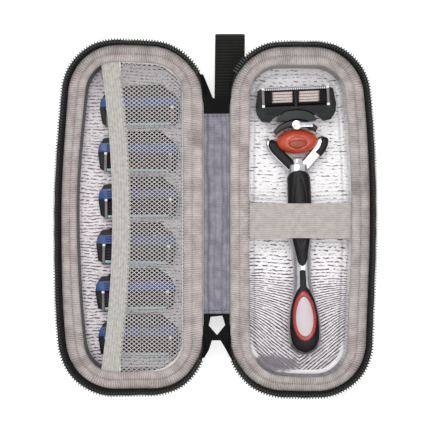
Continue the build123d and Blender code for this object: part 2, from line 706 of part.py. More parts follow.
def release_button():
    """Thumb button that slides towards the head and lets the cartridge go."""
    blank = extrude(Pos(0, BUTTON_Y, BALL_RADIUS - BUTTON_SEAT + CLEARANCE) * button_plan(0), BALL_RADIUS)
    return blank & ball_blank(CLEARANCE)


def ring_plan():
    """Outer outline of the swivel ring, as a flat-sided oval."""
    corners = oval_points(SWIVEL_HALF, RING_REACH, 2 * HANDLE_SIDES)
    return make_face(Polyline(*corners, close=True))


def swivel_ring():
    """Dark arched band round the head side of the ball."""
    outer = ring_plan()
    inner = Ellipse(BALL_HALF + 1.0, BALL_RADIUS + CLEARANCE)
    keep = Pos(0, RING_START_Y + SWIVEL_HALF) * Rectangle(4 * SWIVEL_HALF, 2 * SWIVEL_HALF)
    band = extrude(Pos(0, 0, -RING_LOW) * ((outer - inner) & keep), RING_TOP + RING_LOW)
    for turn in (SWIVEL_OUT, 0, SWIVEL_IN):
        band -= Rot(0, 0, -turn) * ball_blank(CLEARANCE + 0.1)
    return band


def pivot_lug():
    """Bright round lug on top of the ring, with its bore."""
    seat = (Align.CENTER, Align.CENTER, Align.MIN)
    lug = Pos(0, LUG_Y, RING_TOP) * Cylinder(LUG_RADIUS, 1.8, align=seat)
    bar = slab(0, 8.6, LUG_Y - 1.2, LUG_Y + 1.2, RING_TOP, RING_TOP + 1.0)
    bore = Pos(0, LUG_Y, RING_TOP + 0.6) * Cylinder(1.1, 4, align=seat)
    return lug + bar - bore


def head_hub():
    """Black hood between the ring and the cartridge, with the pivot ears."""
    hood = extrude(Pos(0, 0, HEAD_LOW) * hood_plan(0), 5.0)
    ring_room = extrude(Pos(0, 0, -SWIVEL_HALF) * ring_plan(), 2 * SWIVEL_HALF)
    return hood - ring_room


def head_place():
    """Place of the mounted cartridge on the razor."""
    return Pos(0, HEAD_Y, HEAD_LOW)


def case_nodes():
    """Nodes of the case itself, by name."""
    nodes = {
        "right_outer_shell": outer_shell(),
        "right_foil_liner": foil_liner(),
        "right_binding": binding(),
        "right_zip_tape": zip_tape(),
        "right_zip_teeth": zip_teeth(0.25),
        "left_outer_shell": mirror(outer_shell(), Plane.YZ),
        "left_foil_liner": mirror(foil_liner(), Plane.YZ),
        "left_binding": mirror(binding(), Plane.YZ),
        "left_zip_tape": mirror(zip_tape(), Plane.YZ),
        "left_zip_teeth": mirror(zip_teeth(0.75), Plane.YZ),
        "spine_fabric": spine_fabric(),
        "spine_lining": spine_lining(),
        "top_web": top_web(),
        "bottom_web": bottom_web(),
        "zip_slider": zip_slider(),
        "zip_pull": zip_pull(),
        "hand_loop": hand_loop(),
        "holding_strap": holding_strap(),
        "pocket_edge": pocket_edge(),
        "pocket_net": pocket_net(),
    }
    return nodes


def razor_nodes():
    """Nodes of the razor, by name."""
    local = {
        "razor_handle": handle_core(),
        "razor_front_grip": front_grip(),
        "razor_end_grip": end_grip(),
        "razor_end_ring": end_ring(),
        "razor_end_inlay": end_inlay(),
        "razor_yoke": yoke(),
        "razor_ball": razor_ball(),
        "razor_release_button": release_button(),
        "razor_swivel_ring": swivel_ring(),
        "razor_pivot_lug": pivot_lug(),
        "razor_head_hub": head_hub(),
        "razor_cartridge_frame": head_place() * cart_frame(False),
        "razor_cartridge_blades": head_place() * cart_blades(),
        "razor_cartridge_guard": head_place() * (cart_guard() - hood_notch()),
        "razor_cartridge_strip": head_place() * cart_strip(),
    }
    return {name: razor_place() * shape for name, shape in local.items()}


def spare_nodes():
    """Nodes of the six spare cartridges, by name."""
    pieces = {"frame": cart_frame(True), "blades": cart_blades(), "guard": cart_guard(),
              "strip": cart_strip()}
    nodes = {}
    for index in range(SPARE_COUNT):
        for piece, shape in pieces.items():
            nodes[f"spare_{index + 1}_{piece}"] = spare_place(index) * shape
    return nodes


def main():
    """Write one STEP file for each node."""
    os.makedirs("parts", exist_ok=True)
    nodes = {**case_nodes(), **razor_nodes(), **spare_nodes()}
    for name, shape in nodes.items():
        export_step(Pos(0, CASE_SHIFT, 0) * shape, f"parts/{name}.step")


main()
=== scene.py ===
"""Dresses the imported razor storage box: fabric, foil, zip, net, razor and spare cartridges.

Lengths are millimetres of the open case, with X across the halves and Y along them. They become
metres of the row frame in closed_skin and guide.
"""
import logging
import math
from dataclasses import dataclass, field
from enum import Enum
from typing import Optional, Sequence

import bmesh
import bpy
import numpy as np
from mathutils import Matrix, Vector

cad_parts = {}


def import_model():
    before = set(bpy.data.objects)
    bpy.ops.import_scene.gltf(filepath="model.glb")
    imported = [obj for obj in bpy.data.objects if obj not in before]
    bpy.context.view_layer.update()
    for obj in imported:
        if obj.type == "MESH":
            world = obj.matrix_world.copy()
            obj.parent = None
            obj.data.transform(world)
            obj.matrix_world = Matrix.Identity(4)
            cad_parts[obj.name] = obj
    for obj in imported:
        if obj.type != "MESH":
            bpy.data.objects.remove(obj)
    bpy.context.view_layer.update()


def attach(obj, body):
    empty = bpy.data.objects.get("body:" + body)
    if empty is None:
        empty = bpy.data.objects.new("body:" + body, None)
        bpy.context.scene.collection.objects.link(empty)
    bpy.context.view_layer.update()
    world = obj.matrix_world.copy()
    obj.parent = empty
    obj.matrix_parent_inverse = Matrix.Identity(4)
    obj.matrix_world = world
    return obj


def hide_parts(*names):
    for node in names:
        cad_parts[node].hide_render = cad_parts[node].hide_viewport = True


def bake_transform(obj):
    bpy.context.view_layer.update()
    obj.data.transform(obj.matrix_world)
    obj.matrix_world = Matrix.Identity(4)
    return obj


LOG = logging.getLogger("razor_box")
MM = 0.001
CASE_SHIFT = -2.0
UV_NAME = "Lay"

# Sizes shared with the solids
PIVOT_X = 7.15
RIM_END = 90.8
FLANGE_TOP = 20.4
FLANGE_LOW = 17.4
FLOOR_TOP = 4.4
BASE_TOP = 3.6
TAPE_TOP = 27.9
TRAY_INSET = 9.2

Point = tuple[float, float, float]
Pair = tuple[float, float]
Push = tuple[Pair, Pair, float]
Colour = tuple[float, float, float]
Socket = bpy.types.NodeSocket

# How finely meshes are closed and shaded
WELD = 0.002
SHARP = 40.0


def srgb(red: float, green: float, blue: float) -> Colour:
    """Linear colour of an sRGB colour.

    Args:
        red: Red, from 0 to 255.
        green: Green, from 0 to 255.
        blue: Blue, from 0 to 255.

    Returns:
        The same colour as linear values from 0 to 1.
    """
    def linear(value: float) -> float:
        """Linear value of one sRGB channel."""
        share = value / 255
        return share / 12.92 if share <= 0.04045 else ((share + 0.055) / 1.055) ** 2.4

    return linear(red), linear(green), linear(blue)


def smooth_line(stations: Sequence[float], values: Sequence[float], at: np.ndarray) -> np.ndarray:
    """Smooth curve through values at stations, with no overshoot between them.

    Args:
        stations: Rising places of the values.
        values: Value at each station.
        at: Places to read.

    Returns:
        The curve's value at each place.
    """
    xs = np.asarray(stations, float)
    ys = np.asarray(values, float)
    slopes = np.diff(ys) / np.diff(xs)
    tangents = np.zeros_like(ys)
    tangents[0], tangents[-1] = slopes[0], slopes[-1]
    for index in range(1, len(xs) - 1):
        before, after = slopes[index - 1], slopes[index]
        if before * after > 0:
            tangents[index] = 2 * before * after / (before + after)
    cell = np.clip(np.searchsorted(xs, at) - 1, 0, len(xs) - 2)
    width = xs[cell + 1] - xs[cell]
    t = (at - xs[cell]) / width
    return ((2 * t**3 - 3 * t**2 + 1) * ys[cell] + (t**3 - 2 * t**2 + t) * width * tangents[cell]
            + (3 * t**2 - 2 * t**3) * ys[cell + 1] + (t**3 - t**2) * width * tangents[cell + 1])


class Side(Enum):
    """Half of the open case, by the sign of its X."""

    RIGHT = 1
    LEFT = -1

    @property
    def word(self) -> str:
        """Word that the half's nodes start with."""
        return self.name.lower()

    @property
    def body(self) -> str:
        """Body that the half's pieces ride on."""
        return f"{self.word}_half"


def run_lengths(points: np.ndarray) -> np.ndarray:
    """Distance of each point along a line that returns to its start."""
    loop = np.vstack([points, points[:1]])
    return np.concatenate([[0.0], np.cumsum(np.linalg.norm(np.diff(loop, axis=0), axis=1))])


def link(name: str, data: bpy.types.ID) -> bpy.types.Object:
    """Puts a mesh, a lamp or a camera into the scene as a new object."""
    piece = bpy.data.objects.new(name, data)
    bpy.context.scene.collection.objects.link(piece)
    return piece


def closed_skin(name: str, rows: Sequence, finish: "Finish", side: Side = Side.RIGHT,
                ring: bool = False, sharp: float = SHARP) -> bpy.types.Object:
    """Builds a closed piece from a grid of points, with UVs that measure along and across it.

    Args:
        name: Name of the piece.
        rows: Rings of points, in millimetres of the open case.
        finish: Finish of the whole piece.
        side: LEFT mirrors the piece to the other half.
        ring: Whether the last row joins the first. If not, one face closes each end.
        sharp: Angle in degrees above which an edge stays sharp.

    Returns:
        The linked object, whose place is in its mesh.
    """
    shape = np.array(rows, float)
    high, wide = shape.shape[:2]
    along, across = run_lengths(shape[:, wide // 2]), run_lengths(shape[high // 2])
    faces, lays = [], []
    for i in range(high if ring else high - 1):
        for j in range(wide):
            i2, j2 = (i + 1) % high, (j + 1) % wide
            faces.append([i * wide + j, i2 * wide + j, i2 * wide + j2, i * wide + j2])
            lays += [along[i], across[j], along[i + 1], across[j],
                     along[i + 1], across[j + 1], along[i], across[j + 1]]
    if not ring:
        for row in (0, high - 1):
            faces.append([row * wide + j for j in range(wide)])
            lays += shape[row, :, :2].ravel().tolist()
    flat = shape.reshape(-1, 3) * (side.value, 1, 1) + (0, CASE_SHIFT, 0)
    mesh = bpy.data.meshes.new(name)
    mesh.from_pydata((flat * MM).tolist(), [], faces)
    mesh.uv_layers.new(name=UV_NAME).data.foreach_set("uv", lays)
    form = bmesh.new()
    form.from_mesh(mesh)
    bmesh.ops.remove_doubles(form, verts=form.verts, dist=WELD * MM)
    bmesh.ops.dissolve_degenerate(form, edges=form.edges, dist=WELD * MM / 4)
    bmesh.ops.recalc_face_normals(form, faces=form.faces)
    for face in form.faces:
        face.smooth = True
    for edge in form.edges:
        edge.smooth = len(edge.link_faces) == 2 and edge.calc_face_angle(0) < math.radians(sharp)
    form.to_mesh(mesh)
    form.free()
    mesh.materials.append(finish.make())
    return link(name, mesh)


@dataclass(frozen=True)
class Arc:
    """One stretch of a rim, swept by the direction of its outward normal."""

    centre: Pair
    radius: float
    start: float
    end: float


@dataclass(frozen=True)
class RimPath:
    """Rounded and bowed outline of the right half, with one radius for all four corners."""

    corner: float = 28.0
    half_width: float = 75.0
    side_bow: float = 6.0
    end_bow: float = 1.2
    pushes: tuple[Push, ...] = ()

    def arcs(self) -> list[Arc]:
        """Arcs of the outline from the middle of the spine's side, counter-clockwise."""
        outer = PIVOT_X + self.half_width
        reach_y = RIM_END - self.end_bow
        chord = (self.half_width - self.side_bow) / 2
        end_radius = (chord**2 + self.end_bow**2) / (2 * self.end_bow)
        side_radius = (reach_y**2 + self.side_bow**2) / (2 * self.side_bow)
        low = np.array([PIVOT_X + chord, end_radius - RIM_END])
        out = np.array([outer - side_radius, 0.0])
        near_x = PIVOT_X + self.corner
        reach = end_radius - self.corner
        near = np.array([near_x, low[1] - math.sqrt(reach**2 - (near_x - low[0])**2)])
        far = self._meeting(low, reach, out, side_radius - self.corner)
        full = 2 * math.pi
        turn_near, turn_far, turn_out = (math.atan2(*(end - start)[::-1]) % full for start, end in
                                         ((low, near), (low, far), (out, far)))
        lower = [
            Arc(tuple(near), self.corner, math.pi, turn_near),
            Arc(tuple(low), end_radius, turn_near, turn_far),
            Arc(tuple(far), self.corner, turn_far, turn_out),
            Arc(tuple(out), side_radius, turn_out, full),
        ]
        upper = [Arc((arc.centre[0], -arc.centre[1]), arc.radius, 2 * full - arc.end, 2 * full - arc.start)
                 for arc in reversed(lower)]
        return lower + upper

    @staticmethod
    def _meeting(first: np.ndarray, first_radius: float, second: np.ndarray,
                 second_radius: float) -> np.ndarray:
        """Lower meeting point of two circles."""
        apart = second - first
        distance = float(np.linalg.norm(apart))
        along = (first_radius**2 - second_radius**2 + distance**2) / (2 * distance)
        across = math.sqrt(first_radius**2 - along**2)
        unit = apart / distance
        normal = np.array([-unit[1], unit[0]])
        found = [first + unit * along + normal * across * sign for sign in (-1, 1)]
        return min(found, key=lambda point: point[1] - point[0])

    def walk(self, step: float) -> tuple[np.ndarray, np.ndarray]:
        """Points and outward normals along the outline, from the middle of the spine's side.

        Args:
            step: Spacing on a rim with the sewing flange's corners, in millimetres.

        Returns:
            Points and normals, each an array of pairs.
        """
        plain_arcs = RimPath().arcs()
        line_y = self.arcs()[0].centre[1]
        count = max(2, round(abs(plain_arcs[0].centre[1]) / step))
        straight = [((PIVOT_X, line_y * index / count), math.pi) for index in range(count)]
        places = list(straight)
        for model, arc in zip(plain_arcs, self.arcs()):
            share = max(3, round(model.radius * (model.end - model.start) / step))
            for index in range(share):
                turn = arc.start + (arc.end - arc.start) * index / share
                places.append(((arc.centre[0] + arc.radius * math.cos(turn),
                                arc.centre[1] + arc.radius * math.sin(turn)), turn))
        places.append(((PIVOT_X, -line_y), math.pi))
        places += [((PIVOT_X, -line_y * index / count), math.pi) for index in range(count - 1, 0, -1)]
        points = np.array([place for place, _ in places])
        normals = np.array([(math.cos(turn), math.sin(turn)) for _, turn in places])
        moved = points.copy()
        for (x, y), shift, reach in self.pushes:
            away = np.hypot(points[:, 0] - x, points[:, 1] - y)
            moved += np.exp(-(away / reach) ** 2)[:, None] * np.array(shift)
        return moved, normals

    def rows(self, profile: Sequence[Pair], step: float) -> np.ndarray:
        """Grid of points: one row for each place along the rim, one column for each point of a profile.

        Args:
            profile: Inset and height of each point of the cross-section.
            step: Spacing along the rim, in millimetres.

        Returns:
            Array of rows, columns and three lengths.
        """
        points, normals = self.walk(step)
        shape = np.zeros((len(points), len(profile), 3))
        for column, (inset, height) in enumerate(profile):
            shape[:, column, :2] = points - normals * inset
            shape[:, column, 2] = height
        return shape


class Graph:
    """Node tree with short calls that add and join nodes."""

    def __init__(self, tree: bpy.types.NodeTree) -> None:
        """Keeps the tree of a material, the world or a group."""
        self.tree = tree

    def node(self, kind: str, given: Optional[dict[str, object]] = None,
             **settings: object) -> bpy.types.Node:
        """Adds a node.

        Args:
            kind: Kind of the node.
            given: Value or source of each input that is set, by name.
            settings: Plain properties of the node.

        Returns:
            The new node.
        """
        made = self.tree.nodes.new(kind)
        for name, value in settings.items():
            setattr(made, name, value)
        for name, value in (given or {}).items():
            self.join(value, made.inputs[name])
        return made

    def join(self, source: object, target: Socket) -> None:
        """Links a socket to an input, or sets the input to a value."""
        if isinstance(source, Socket):
            self.tree.links.new(source, target)
        else:
            target.default_value = source

    def inputs(self) -> dict[str, Socket]:
        """The group's own inputs, by name."""
        return {socket.name: socket for socket in self.node("NodeGroupInput").outputs if socket.name}

    def math(self, kind: str, first: object, second: object = 0.0, third: object = 0.0,
             clamp: bool = False) -> Socket:
        """Output of one Math node."""
        made = self.node("ShaderNodeMath", operation=kind, use_clamp=clamp)
        for value, target in zip((first, second, third), made.inputs):
            self.join(value, target)
        return made.outputs[0]

    def times(self, first: object, second: object, clamp: bool = False) -> Socket:
        """Product of two values."""
        return self.math("MULTIPLY", first, second, clamp=clamp)

    def plus(self, first: object, second: object, clamp: bool = False) -> Socket:
        """Sum of two values."""
        return self.math("ADD", first, second, clamp=clamp)

    def minus(self, first: object, second: object) -> Socket:
        """Difference of two values."""
        return self.math("SUBTRACT", first, second)

    def apart(self, first: object, second: object) -> Socket:
        """Distance between two values."""
        return self.math("ABSOLUTE", self.minus(first, second))

    def scaled(self, value: object, factor: object, offset: object, clamp: bool = False) -> Socket:
        """Value times a factor, plus an offset."""
        return self.math("MULTIPLY_ADD", value, factor, offset, clamp)

    def span(self, value: object, low: float, high: float, to_low: float = 0.0,
             to_high: float = 1.0) -> Socket:
        """Value moved smoothly from one range to another, and held inside it."""
        made = self.node("ShaderNodeMapRange", interpolation_type="SMOOTHSTEP")
        for place, given in zip(made.inputs, (value, low, high, to_low, to_high)):
            self.join(given, place)
        return made.outputs[0]

    def mix(self, share: object, first: object, second: object) -> Socket:
        """Colour between two colours."""
        made = self.node("ShaderNodeMix", data_type="RGBA")
        self.join(share, made.inputs[0])
        for value, target in ((first, made.inputs[6]), (second, made.inputs[7])):
            self.join((*value, 1.0) if isinstance(value, tuple) else value, target)
        return made.outputs[2]

    def noise(self, vector: object, scale: object, detail: float = 2.0, rough: float = 0.5) -> Socket:
        """Plain noise, from about 0.2 to 0.8."""
        given = {"Vector": vector, "Scale": scale, "Detail": detail, "Roughness": rough}
        return self.node("ShaderNodeTexNoise", given).outputs[0]

    def split(self, place: Socket) -> list[Socket]:
        """The three lengths of a place."""
        made = self.node("ShaderNodeSeparateXYZ")
        self.join(place, made.inputs[0])
        return list(made.outputs)

    def mapped(self, place: Socket, change: str, values: Point) -> Socket:
        """Place after the Scale or the Rotation of a Mapping node."""
        return self.node("ShaderNodeMapping", {"Vector": place, change: values}).outputs[0]

    def lay(self, on_uv: bool) -> Socket:
        """Place on the surface in millimetres, from the piece's own UVs or from Object coordinates."""
        if on_uv:
            return self.node("ShaderNodeUVMap", uv_map=UV_NAME).outputs[0]
        place = self.node("ShaderNodeTexCoord").outputs["Object"]
        return self.mapped(place, "Scale", (1000.0, 1000.0, 1000.0))

    def bump(self, height: Socket, distance: float) -> Socket:
        """Normal from a height, whose full size is a distance in millimetres."""
        given = {"Strength": 1.0, "Distance": distance * MM, "Height": height}
        return self.node("ShaderNodeBump", given).outputs[0]


class Effect(Enum):
    """Shader node groups that more than one finish uses, by name and by their own inputs."""

    WEAVE = ("weave", {"Warp": 1.0, "Weft": 1.0})
    RIBS = ("ribs", {"Pitch": 1.0, "Wander": 0.1})
    MOTTLE = ("mottle", {"Scale": 0.1})
    RIPPLE = ("ripple", {"Pitch": 2.0, "Slant": 0.0, "Gaps": 0.5})
    WEAR = ("wear", {"Scale": 1.0})

    def place(self, graph: Graph, vector: Socket, **given: object) -> tuple[Socket, Socket]:
        """Adds the group to a tree.

        Args:
            graph: Tree that gets the group.
            vector: Place on the surface, in millimetres.
            given: Values of the group's other inputs, by name in small letters.

        Returns:
            The group's height and its mask.
        """
        tree = bpy.data.node_groups.get(self.value[0]) or self.tree()
        named = {name.title(): value for name, value in {"vector": vector, **given}.items()}
        made = graph.node("ShaderNodeGroup", named, node_tree=tree)
        return made.outputs["Height"], made.outputs["Mask"]

    def tree(self) -> bpy.types.NodeTree:
        """Builds the shader node group, with its named inputs and outputs."""
        name, inputs = self.value
        tree = bpy.data.node_groups.new(name, "ShaderNodeTree")
        tree.interface.new_socket("Vector", in_out="INPUT", socket_type="NodeSocketVector")
        for label, value in inputs.items():
            made = tree.interface.new_socket(label, in_out="INPUT", socket_type="NodeSocketFloat")
            made.default_value = value
        for label in ("Height", "Mask"):
            tree.interface.new_socket(label, in_out="OUTPUT", socket_type="NodeSocketFloat")
        graph = Graph(tree)
        given = graph.inputs()
        height, mask = getattr(self, f"_{name}")(graph, given["Vector"], given)
        graph.node("NodeGroupOutput", {"Height": height, "Mask": mask})
        return tree

    @staticmethod
    def _weave(graph: Graph, place: Socket, given: dict[str, Socket]) -> tuple[Socket, Socket]:
        """Height and gaps of crossing threads."""
        x, y, _ = graph.split(place)
        across = graph.math("SINE", graph.times(graph.math("DIVIDE", x, given["Warp"]), math.pi))
        along = graph.math("SINE", graph.times(graph.math("DIVIDE", y, given["Weft"]), math.pi))
        over = graph.math("GREATER_THAN", graph.times(across, along), 0.0)
        tall, wide = graph.math("ABSOLUTE", across), graph.math("ABSOLUTE", along)
        height = graph.plus(graph.times(over, tall), graph.times(graph.minus(1.0, over), wide))
        return height, graph.minus(1.0, graph.times(tall, wide))

    @staticmethod
    def _ribs(graph: Graph, place: Socket, given: dict[str, Socket]) -> tuple[Socket, Socket]:
        """Height and gaps of ribs that wander a little."""
        drift = graph.times(graph.minus(graph.noise(place, 0.6), 0.5), given["Wander"])
        run = graph.plus(graph.split(place)[0], drift)
        turn = graph.times(graph.math("DIVIDE", run, given["Pitch"]), math.pi)
        height = graph.math("ABSOLUTE", graph.math("SINE", turn))
        return height, graph.minus(1.0, graph.math("POWER", height, 0.5))

    @staticmethod
    def _mottle(graph: Graph, place: Socket, given: dict[str, Socket]) -> tuple[Socket, Socket]:
        """Height and hollows of a fine blotchy noise."""
        height = graph.span(graph.noise(place, given["Scale"], 4.0, 0.55), 0.25, 0.75)
        return height, graph.minus(1.0, height)

    @staticmethod
    def _ripple(graph: Graph, place: Socket, given: dict[str, Socket]) -> tuple[Socket, Socket]:
        """Height and broken lines of crinkled film, which the foil paints dark as the shade of its creases.
        """
        x, y, _ = graph.split(place)
        bend = graph.times(graph.minus(graph.noise(place, 0.035, 1.0), 0.5), 5.0)
        run = graph.plus(graph.plus(y, graph.times(x, given["Slant"])), bend)
        run = graph.plus(run, graph.times(graph.noise(place, 0.45), 1.3))
        turn = graph.times(graph.math("DIVIDE", run, given["Pitch"]), 2 * math.pi)
        height = graph.scaled(graph.math("SINE", turn), 0.5, 0.5)
        dashes = graph.noise(graph.mapped(place, "Scale", (0.36, 1.1, 0.5)), 1.0, 3.0, 0.6)
        broken = graph.math("GREATER_THAN", dashes, given["Gaps"])
        return height, graph.times(graph.span(height, 0.56, 0.84), broken)

    @staticmethod
    def _wear(graph: Graph, place: Socket, given: dict[str, Socket]) -> tuple[Socket, Socket]:
        """Height and marks of fine rubbing across a piece."""
        lines = graph.noise(graph.mapped(place, "Scale", (3.0, 0.25, 1.0)), given["Scale"], 5.0, 0.7)
        return graph.span(lines, 0.3, 0.7), graph.span(lines, 0.62, 0.74)


@dataclass(frozen=True)
class Finish:
    """Finish of a surface: a material whose nodes give its colour, grain and gloss."""

    name: str
    colour: Colour
    roughness: float = 0.6

    def make(self) -> bpy.types.Material:
        """Material of this finish, built on first use."""
        title = f"{self.name}_finish"
        found = bpy.data.materials.get(title)
        if found:
            return found
        made = bpy.data.materials.new(title)
        made.use_nodes = True
        made.node_tree.nodes.clear()
        graph = Graph(made.node_tree)
        shader = graph.node("ShaderNodeBsdfPrincipled", {"Roughness": self.roughness,
                                                         "Base Color": (*self.colour, 1.0)})
        graph.node("ShaderNodeOutputMaterial", {"Surface": shader.outputs[0]})
        made.diffuse_color = (*self.colour, 1.0)
        self.dress(graph, shader.inputs)
        return made

    def dress(self, graph: Graph, ports: bpy.types.NodeInputs) -> None:
        """Adds this finish's own nodes to the shader's inputs."""
        raise NotImplementedError

    @staticmethod
    def set(ports: bpy.types.NodeInputs, values: dict[str, object]) -> None:
        """Sets plain values on the shader's own inputs."""
        for name, value in values.items():
            ports[name].default_value = value


class Pattern(Enum):
    """How the threads of a cloth lie."""

    WOVEN = "woven"
    RIBBED = "ribbed"


@dataclass(frozen=True)
class Cloth(Finish):
    """Woven or ribbed cloth, with mottled colour and a soft sheen."""

    shade: Colour = (0.0, 0.0, 0.0)
    pattern: Pattern = Pattern.WOVEN
    warp: float = 0.6
    weft: float = 0.6
    depth: float = 0.15
    contrast: float = 0.5
    blotch: float = 0.12
    blotch_size: float = 0.15
    sheen: float = 0.25
    on_uv: bool = True
    across: bool = False

    def dress(self, graph: Graph, ports: bpy.types.NodeInputs) -> None:
        """Adds threads, blotches and sheen."""
        place = graph.lay(self.on_uv)
        if self.across:
            place = graph.mapped(place, "Rotation", (0.0, 0.0, math.pi / 2))
        if self.pattern is Pattern.WOVEN:
            thread, gap = Effect.WEAVE.place(graph, place, warp=self.warp, weft=self.weft)
        else:
            thread, gap = Effect.RIBS.place(graph, place, pitch=self.warp, wander=self.warp * 0.5)
        _, blotches = Effect.MOTTLE.place(graph, place, scale=self.blotch_size)
        fuzz, fluff = Effect.MOTTLE.place(graph, place, scale=2.2)
        dark = graph.plus(graph.times(gap, self.contrast), graph.times(blotches, self.blotch))
        dark = graph.plus(dark, graph.times(fluff, self.blotch * 0.6), clamp=True)
        graph.join(graph.mix(dark, self.colour, self.shade), ports["Base Color"])
        graph.join(graph.scaled(fuzz, 0.12, self.roughness - 0.06), ports["Roughness"])
        graph.join(graph.bump(graph.scaled(fuzz, 0.25, thread), self.depth), ports["Normal"])
        self.set(ports, {"Sheen Weight": self.sheen, "Sheen Roughness": 0.5, "Specular IOR Level": 0.12})

    def darken(self, graph: Graph, ports: bpy.types.NodeInputs, share: Socket) -> None:
        """Mixes the cloth's dark shade over its colour by a mask."""
        cloth = ports["Base Color"].links[0].from_socket
        graph.join(graph.mix(share, cloth, self.shade), ports["Base Color"])


@dataclass(frozen=True)
class Band(Cloth):
    """Cloth of the rim's band, with painted shade in its long crease, and soiled in places."""

    line: float = 6.2
    line_width: float = 0.7
    crease_painted_shade: float = 0.28
    soil_shade: float = 0.5

    def dress(self, graph: Graph, ports: bpy.types.NodeInputs) -> None:
        """Adds the crease's painted shade and the soiling to the cloth."""
        super().dress(graph, ports)
        across = graph.split(graph.lay(True))[1]
        # Painted shade darkens the band along its crease.
        crease = graph.span(graph.apart(across, self.line), 0.0, self.line_width, self.crease_painted_shade, 0.0)
        blots = graph.noise(graph.lay(False), 0.045, 4.0, 0.65)
        soil = graph.span(blots, 0.56, 0.72, 0.0, self.soil_shade)
        self.darken(graph, ports, graph.math("MAXIMUM", crease, soil))


@dataclass(frozen=True)
class Lining(Cloth):
    """Cloth with painted shade along the spine's folds, each with its place, width and depth."""

    folds: tuple[Point, ...] = ((-4.6, 1.3, 0.55), (-1.2, 0.8, 0.25), (2.9, 1.1, 0.35), (5.4, 0.7, 0.3))

    def dress(self, graph: Graph, ports: bpy.types.NodeInputs) -> None:
        """Adds the folds' shade to the cloth."""
        super().dress(graph, ports)
        place = graph.lay(False)
        wander = graph.times(graph.noise(place, 0.06), 3.0)
        x = graph.plus(graph.split(place)[0], graph.minus(wander, 1.5))
        # Painted shade in the valley of each fold.
        dark = None
        for middle, width, depth in self.folds:
            one = graph.span(graph.apart(x, middle), 0.0, width, depth, 0.0)
            dark = one if dark is None else graph.math("MAXIMUM", dark, one)
        self.darken(graph, ports, dark)


